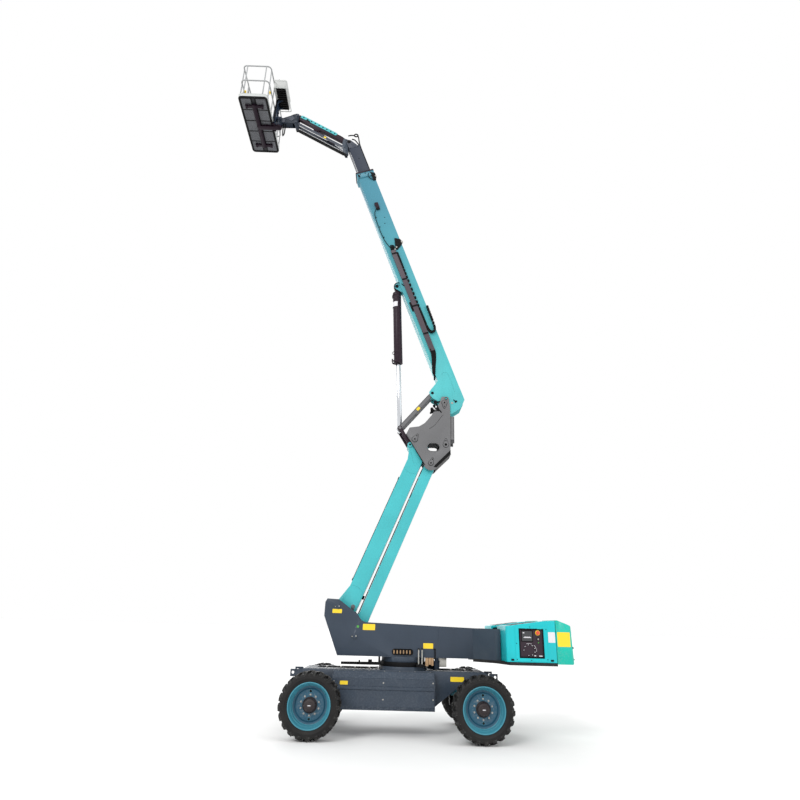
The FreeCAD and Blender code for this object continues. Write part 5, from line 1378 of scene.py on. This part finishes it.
def jib():
    """Pin caps, doublers and hoses on the jib, with its perforated guard."""
    caps, sides, holes = Build(JIB), Build(JIB), Build(JIB)
    for side, _ in SIDES:
        for x in (0, -JIB_SPAN):
            caps.boss(side, x, 0, JIB_Y, JIB_Y + 8, 38, 30)
        caps.plate(rounded_rect(-1300, -1180, -52, 52, 8), *out_from(side * JIB_Y, 4))
        caps.plate([(-1010, -60), (-790, -60), (-850, -24), (-960, -24)], *out_from(side * JIB_Y, 4))
        sides.plate([(-1480, 18), (-330, 18), (-330, 70), (-362, 102), (-1448, 102), (-1480, 70)],
                    *out_from(side * JIB_Y, 4))
        for x in range(-1400, -399, 125):
            holes.boss(side, x, GUARD_HOLE_Z, JIB_Y - 2, JIB_Y + 4.8, 22, 24)
            sides.collar(21, 26, 3, 6, (x, side * JIB_Y, GUARD_HOLE_Z), (0, side, 0), 24)
    caps.done("jib_caps", "jib", PLUM, 1)
    sides.done("guard_sides", "jib", TEAL, 1)
    holes.done("guard_holes", "jib", BLACK, 0)
    hoses = Build(JIB)
    for y in (-22, 0, 22):
        hoses.hose([(-1600, y, 52), (-1530, y, 84), (-1440, y, 84), (-900, y, 84), (-380, y, 84),
                    (-250, y, 92), (-120, y, 80), (-40, y, 62)], 9)
    hoses.done("jib_hoses", "jib", RUBBER, 0)


def hose_bar():
    """Corrugated cover on the hose bar, and the label on the jib link."""
    ribs = Build(local(PIN["hose_bar_pivot"], JIB_LEAN))
    for i in range(RIBS):
        x = -1505 + RIB_PITCH * i
        ribs.box(x, x + 19, -129, -92, -39, 39)
    ribs.boss(-1, -30, 0, 132, 92, 36, 30)
    ribs.done("hose_bar_ribs", "hose_bar", BLACK, 2)
    label("jib_label", "jib_link", local(PIN["jib_link_pivot"], JIB_LEAN), (-650, -585, -26, 26), -66)


fly()
jib()
hose_bar()


# ---------------------------------------------------------------- basket
FLOOR_LOW, FLOOR_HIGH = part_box("basket_floor")
CAGE = Matrix.Translation((FLOOR_LOW.x, 0, FLOOR_LOW.z)) @ ROW   # corner of the floor's underside
CAGE_D, CAGE_HALF = mm(FLOOR_HIGH.x - FLOOR_LOW.x), mm(FLOOR_HIGH.y)
POSTS = [(17, -300), (17, 300), (723, -350), (723, 350)] + [
    (x, side * y) for x, y in ((17, 788), (723, 788), (127, 898), (613, 898)) for side in (-1, 1)]
STICK_FOOT = [(0, 0), (34, 0), (30, 10), (18, 16), (22, 24), (12, 30), (0, 32)]
STICK_KNOB = [(0, 0), (8, 0), (9, 26), (17, 40), (18, 66), (12, 76), (0, 78)]
STOP_KNOB = [(0, 0), (16, 0), (16, 12), (24, 16), (24, 24), (18, 30), (0, 31)]
POST_X = CAGE_D + 30
TIE_RING = ((-24, 560), (-30, 520), (0, 500), (30, 520), (24, 560))     # (distance along Y, height)


def around_cage(gap, r):
    """The cage's outline, widened by a gap on every side."""
    return rounded_rect(-gap, CAGE_D + gap, -gap - CAGE_HALF, CAGE_HALF + gap, r, 8)


def basket_underside():
    """Dark frame with five rows of grating panels on both sides of the carrier beam."""
    frame_bars, panels = Build(CAGE @ FLAT), Build(CAGE)
    frame_bars.border(around_cage(-3, 86), around_cage(-52, 50), -12, -0.5)
    rows = [-860 + 344 * k for k in range(6)]
    for y in rows[1:-1]:
        frame_bars.box(50, CAGE_D - 50, -11, -0.5, y - 13, y + 13)
    for x in (320, 420):
        frame_bars.box(x - 14, x + 14, -11, -0.5, 55 - CAGE_HALF, CAGE_HALF - 55)
    for y0, y1 in zip(rows, rows[1:]):
        for x0, x1 in ((56, 304), (436, 684)):
            panels.box(x0, x1, y0 + 15, y1 - 15, -6, -0.5)
    frame_bars.done("basket_under_frame", "basket", BLACK, 2, slot="floor_metal")
    panels.done("basket_under_grating", "basket", GRATING, 0.5)
    clamps = Build(CAGE)
    for y in (-640, 640):
        for x in (170, 570):
            clamps.box(x - 26, x + 26, y - 48, y + 48, -62, -8)
            for dy in (-30, 30):
                clamps.bolt((x, y + dy, -62), DOWN, 9)
    clamps.done("basket_beam_clamps", "basket", CARRIER, 2)


def basket_inside():
    """Ribbed floor, toe-board beads, post feet and tie-off rings."""
    deck_top = Build(CAGE)
    for x in range(28, 689, 33):
        deck_top.box(x, x + 22, 30 - CAGE_HALF, CAGE_HALF - 30, 40, 46)
    deck_top.done("basket_deck_ribs", "basket", FLOOR)
    bead = Build(CAGE @ FLAT)
    bead.border(around_cage(3, 93), around_cage(-10, 80), 93, 103)
    bead.border(around_cage(2, 92), around_cage(-1, 89), 14, 30)
    bead.done("basket_toe_bead", "basket", WHITE)
    feet = Build(CAGE)
    for x, y in POSTS:
        feet.lathe([(13, 0), (27, 0), (27, 10), (19, 34), (13, 34)], (x, y, 100), UP, 20)
        for z in (572, 1083):
            feet.lathe([(14, -26), (17.5, -26), (20, -16), (14, -12)], (x, y, z), UP, 16)
    feet.done("basket_post_feet", "basket", RAIL, 0.5)
    rings = Build(CAGE)
    for x in (690, 50):
        for y in (-560, 560):
            rings.box(x - 20, x + 20, y - 24, y + 24, 555, 590)
            rings.hose([(x, y + dy, z) for dy, z in TIE_RING], 6)
    rings.done("basket_tie_rings", "basket", YELLOW)


def foot_switch():
    """Foot switch on the basket's floor, with its pedal."""
    switch = Build(CAGE).plate([(500, 46), (660, 46), (660, 110), (630, 122), (500, 70)], -230, -90)
    switch.box(490, 670, -245, -75, 46, 54)
    switch.done("foot_switch", "basket", YELLOW, 4)
    pedal = Build(CAGE).prism([(516, -206, 76), (516, -114, 76), (618, -114, 118), (618, -206, 118)],
                              (-4, 0, 12))
    pedal.done("foot_pedal", "basket", BLACK, 2)


def gate():
    """Latch, hinge collars, hand grip and label on the basket's gate."""
    latch = Build(CAGE).box(6, 44, -282, -236, 806, 866).cyl((24, -262, 866), (24, -262, 902), 7)
    latch.lathe([(0, 0), (12, 0), (14, 8), (12, 16), (0, 16)], (24, -262, 900), UP, 20)
    for z in (236, 330, 786, 880):
        latch.collar(22.3, 26, 0, 14, (17, 300, z), UP, 24)
    latch.done("gate_latch", "gate", ZINC)
    grip = Build(CAGE).hose([(38, -60, 572), (62, -60, 600), (66, -60, 650), (66, 60, 650), (62, 60, 600),
                             (38, 60, 572)], 9)
    for y in (-238, 238):
        grip.lathe([(14.5, 0), (20, 0), (18, 20), (14.5, 20)], (17, y, 157), UP, 18)
    grip.done("gate_grip", "gate", RAIL, 0.5)
    label("gate_label", "gate", CAGE @ ENDWISE, (-80, 80, 600, 680), -1, BLANK)


def console_body(x0, x1, y0, y1, z0, z1):
    """Ribbed underside, seams, vents and guard loop of the console."""
    under = Build(CAGE).box(x0 + 60, x1 - 8, y0 + 10, y1 - 10, z0 - 14, z0)
    for k in range(11):
        y = y0 + 30 + 58 * k
        under.plate([(x0 + 62, z0 - 14), (x1 - 12, z0 - 14), (x1 - 20, z0 - 34), (x0 + 90, z0 - 60)],
                    y, y + 24)
    under.done("console_underside", "basket", BLACK, 3)
    seam = Build(CAGE @ FLAT)
    outer = rounded_rect(x0 + 4, x1 + 5, -y1 - 5, 5 - y0, 52, 6)
    inner = rounded_rect(x0 + 10, x1 - 6, 6 - y1, -6 - y0, 46, 6)
    for z in (z0 + 28, z1 - 46):
        seam.border(outer, inner, z, z + 14)
    seam.done("console_seams", "basket", SHELL, 3)
    vents = Build(CAGE)
    for k in range(6):
        vents.box(x0 + 60 + 30 * k, x0 + 74 + 30 * k, y1 - 5, y1 + 3, z0 + 70, z0 + 170)
    vents.done("console_vents", "basket", BLACK, 1)
    loop = Build(CAGE)
    z = z0 - 26
    half = [(x0 + 40, -34), (x1 - 10, -34), (x1 + 34, -10), (x1 + 42, 40)]
    loop.hose([(x, y0 + dy, z) for x, dy in half] + [(x, y1 - dy, z) for x, dy in reversed(half)], 10)
    for y, side in ((y0, -1), (y1, 1)):
        for x in (x0 + 60, x1 - 40):
            loop.hose([(x, y + 34 * side, z), (x, y + 30 * side, z0 + 20), (x, y + 2 * side, z0 + 60)], 8)
    loop.done("console_guard_loop", "basket", WHITE, 0)


def console():
    """The console's body, and its face with screen, joysticks, switches and stop button."""
    low, high = (CAGE.inverted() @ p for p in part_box("control_console"))
    x0, x1, y0, y1, z0, z1 = low.x, high.x, low.y, high.y, low.z, high.z
    console_body(x0, x1, y0, y1, z0, z1)
    face = Build(CAGE).box(x0 + 18, x1 - 22, y0 + 20, y1 - 20, z1 - 2, z1 + 5)
    face.done("console_face", "basket", PANEL, 3)
    screen = Build(CAGE).box(x0 + 150, x0 + 250, -190, -40, z1 + 5, z1 + 10)
    screen.done("console_screen", "basket", SCREEN, 2)
    sticks = Build(CAGE)
    for y in (y0 + 90, y1 - 80):
        sticks.lathe(STICK_FOOT, (x0 + 96, y, z1 + 5), UP, 28)
        sticks.lathe(STICK_KNOB, (x0 + 96, y, z1 + 32), UP, 24)
    for k in range(12):
        y = y0 + 170 + 30 * k
        sticks.cyl((x0 + 50, y, z1 + 5), (x0 + 50, y, z1 + 12), 8, n=6)
        sticks.cyl((x0 + 50, y, z1 + 12), (x0 + 42, y, z1 + 32), 3, 4, n=12)
    sticks.done("console_levers", "basket", BLACK, 0.6)
    stop_at = (x0 + 200, 60, z1 + 5)
    Build(CAGE).lathe(STOP_KNOB, stop_at, UP, 32).done("console_stop", "basket", RED, 0.5)
    bezel = Build(CAGE).lathe([(26, 0), (36, 0), (34, 5), (26, 5)], stop_at, UP, 32)
    bezel.done("console_stop_ring", "basket", YELLOW, 0.5)


def mount():
    """Hoses, pin caps, plates and collars between the jib's head and the basket's post."""
    head, axis = PIN["basket_level"], PIN["basket_swing"]
    hx, hz, rx = head.x / MM, head.z / MM, axis.x / MM
    hoses = Build()
    for y, low in ((-34, 395), (-14, 340), (30, 300)):
        hoses.hose([(rx + 116, y, hz - 262), (rx + 112, y - 6, hz - 420),
                    (rx + 124, y - 12, hz - 340 - low * 0.8), (rx + 144, y - 10, hz - 340 - low * 0.9),
                    (rx + 160, y - 6, hz - 340 - low * 0.6), (rx + 162, y, hz - 400),
                    (rx + 170, y, hz - 262)], 7, n=8)
    for y in (-68, -47, 48, 68):
        hoses.hose([(hx - 20, y, hz + 58), (hx - 110, y, hz + 30), (hx - 210, y, hz - 40),
                    (hx - 330, y, hz - 100), (hx - 400, y, hz - 146)], 10, n=8)
    hoses.done("mount_hoses", "basket_mount", RUBBER, 0)
    caps = Build()
    for side, _ in SIDES:
        for x, z in ((hx, hz), (hx - 23, hz - 229)):
            caps.boss(side, x, z, 86, 96, 34, bolt=11)
        caps.box(rx + 92, rx + 160, *out_from(side * 80, 14), hz - 262, hz - 158)
        caps.plate([(hx - 300, hz - 120), (hx - 120, hz - 20), (hx - 60, hz - 120), (hx - 140, hz - 210)],
                   *out_from(side * 86, 6))
    for z in (hz - 308, hz - 134):
        caps.collar(80.5, 92, 0, 22, (rx, 0, z), UP, 40)
    caps.done("mount_caps", "basket_mount", DARK)


def post():
    """Hoses, ribs and gussets on the basket's post."""
    lines, ribs = Build(CAGE), Build(CAGE)
    for x in (POST_X - 14, POST_X + 6):
        lines.hose([(x, -124, 10), (x, -126, 200), (x + 2, -126, 520), (x + 4, -124, 740),
                    (x + 34, -108, 812), (x + 80, -90, 842)], 8, n=8)
    lines.done("post_hoses", "basket", RUBBER, 0)
    for z in (440, 560, 680):
        ribs.box(POST_X + 24, POST_X + 46, -108, 108, z, z + 22)
    for side, _ in SIDES:
        for y, points in ((62, ((-25, 34), (26, 34), (90, 14), (90, -10), (-25, -10))),
                          (102, ((-28, 760), (28, 700), (200, 836), (-28, 838))),
                          (108, ((-60, -56), (24, -56), (24, 700), (-20, 700), (-48, 420)))):
            ribs.plate([(POST_X + x, z) for x, z in points], *out_from(side * y, 8))
    ribs.done("post_ribs", "basket", CARRIER)


basket_underside()
basket_inside()
foot_switch()
gate()
console()
mount()
post()
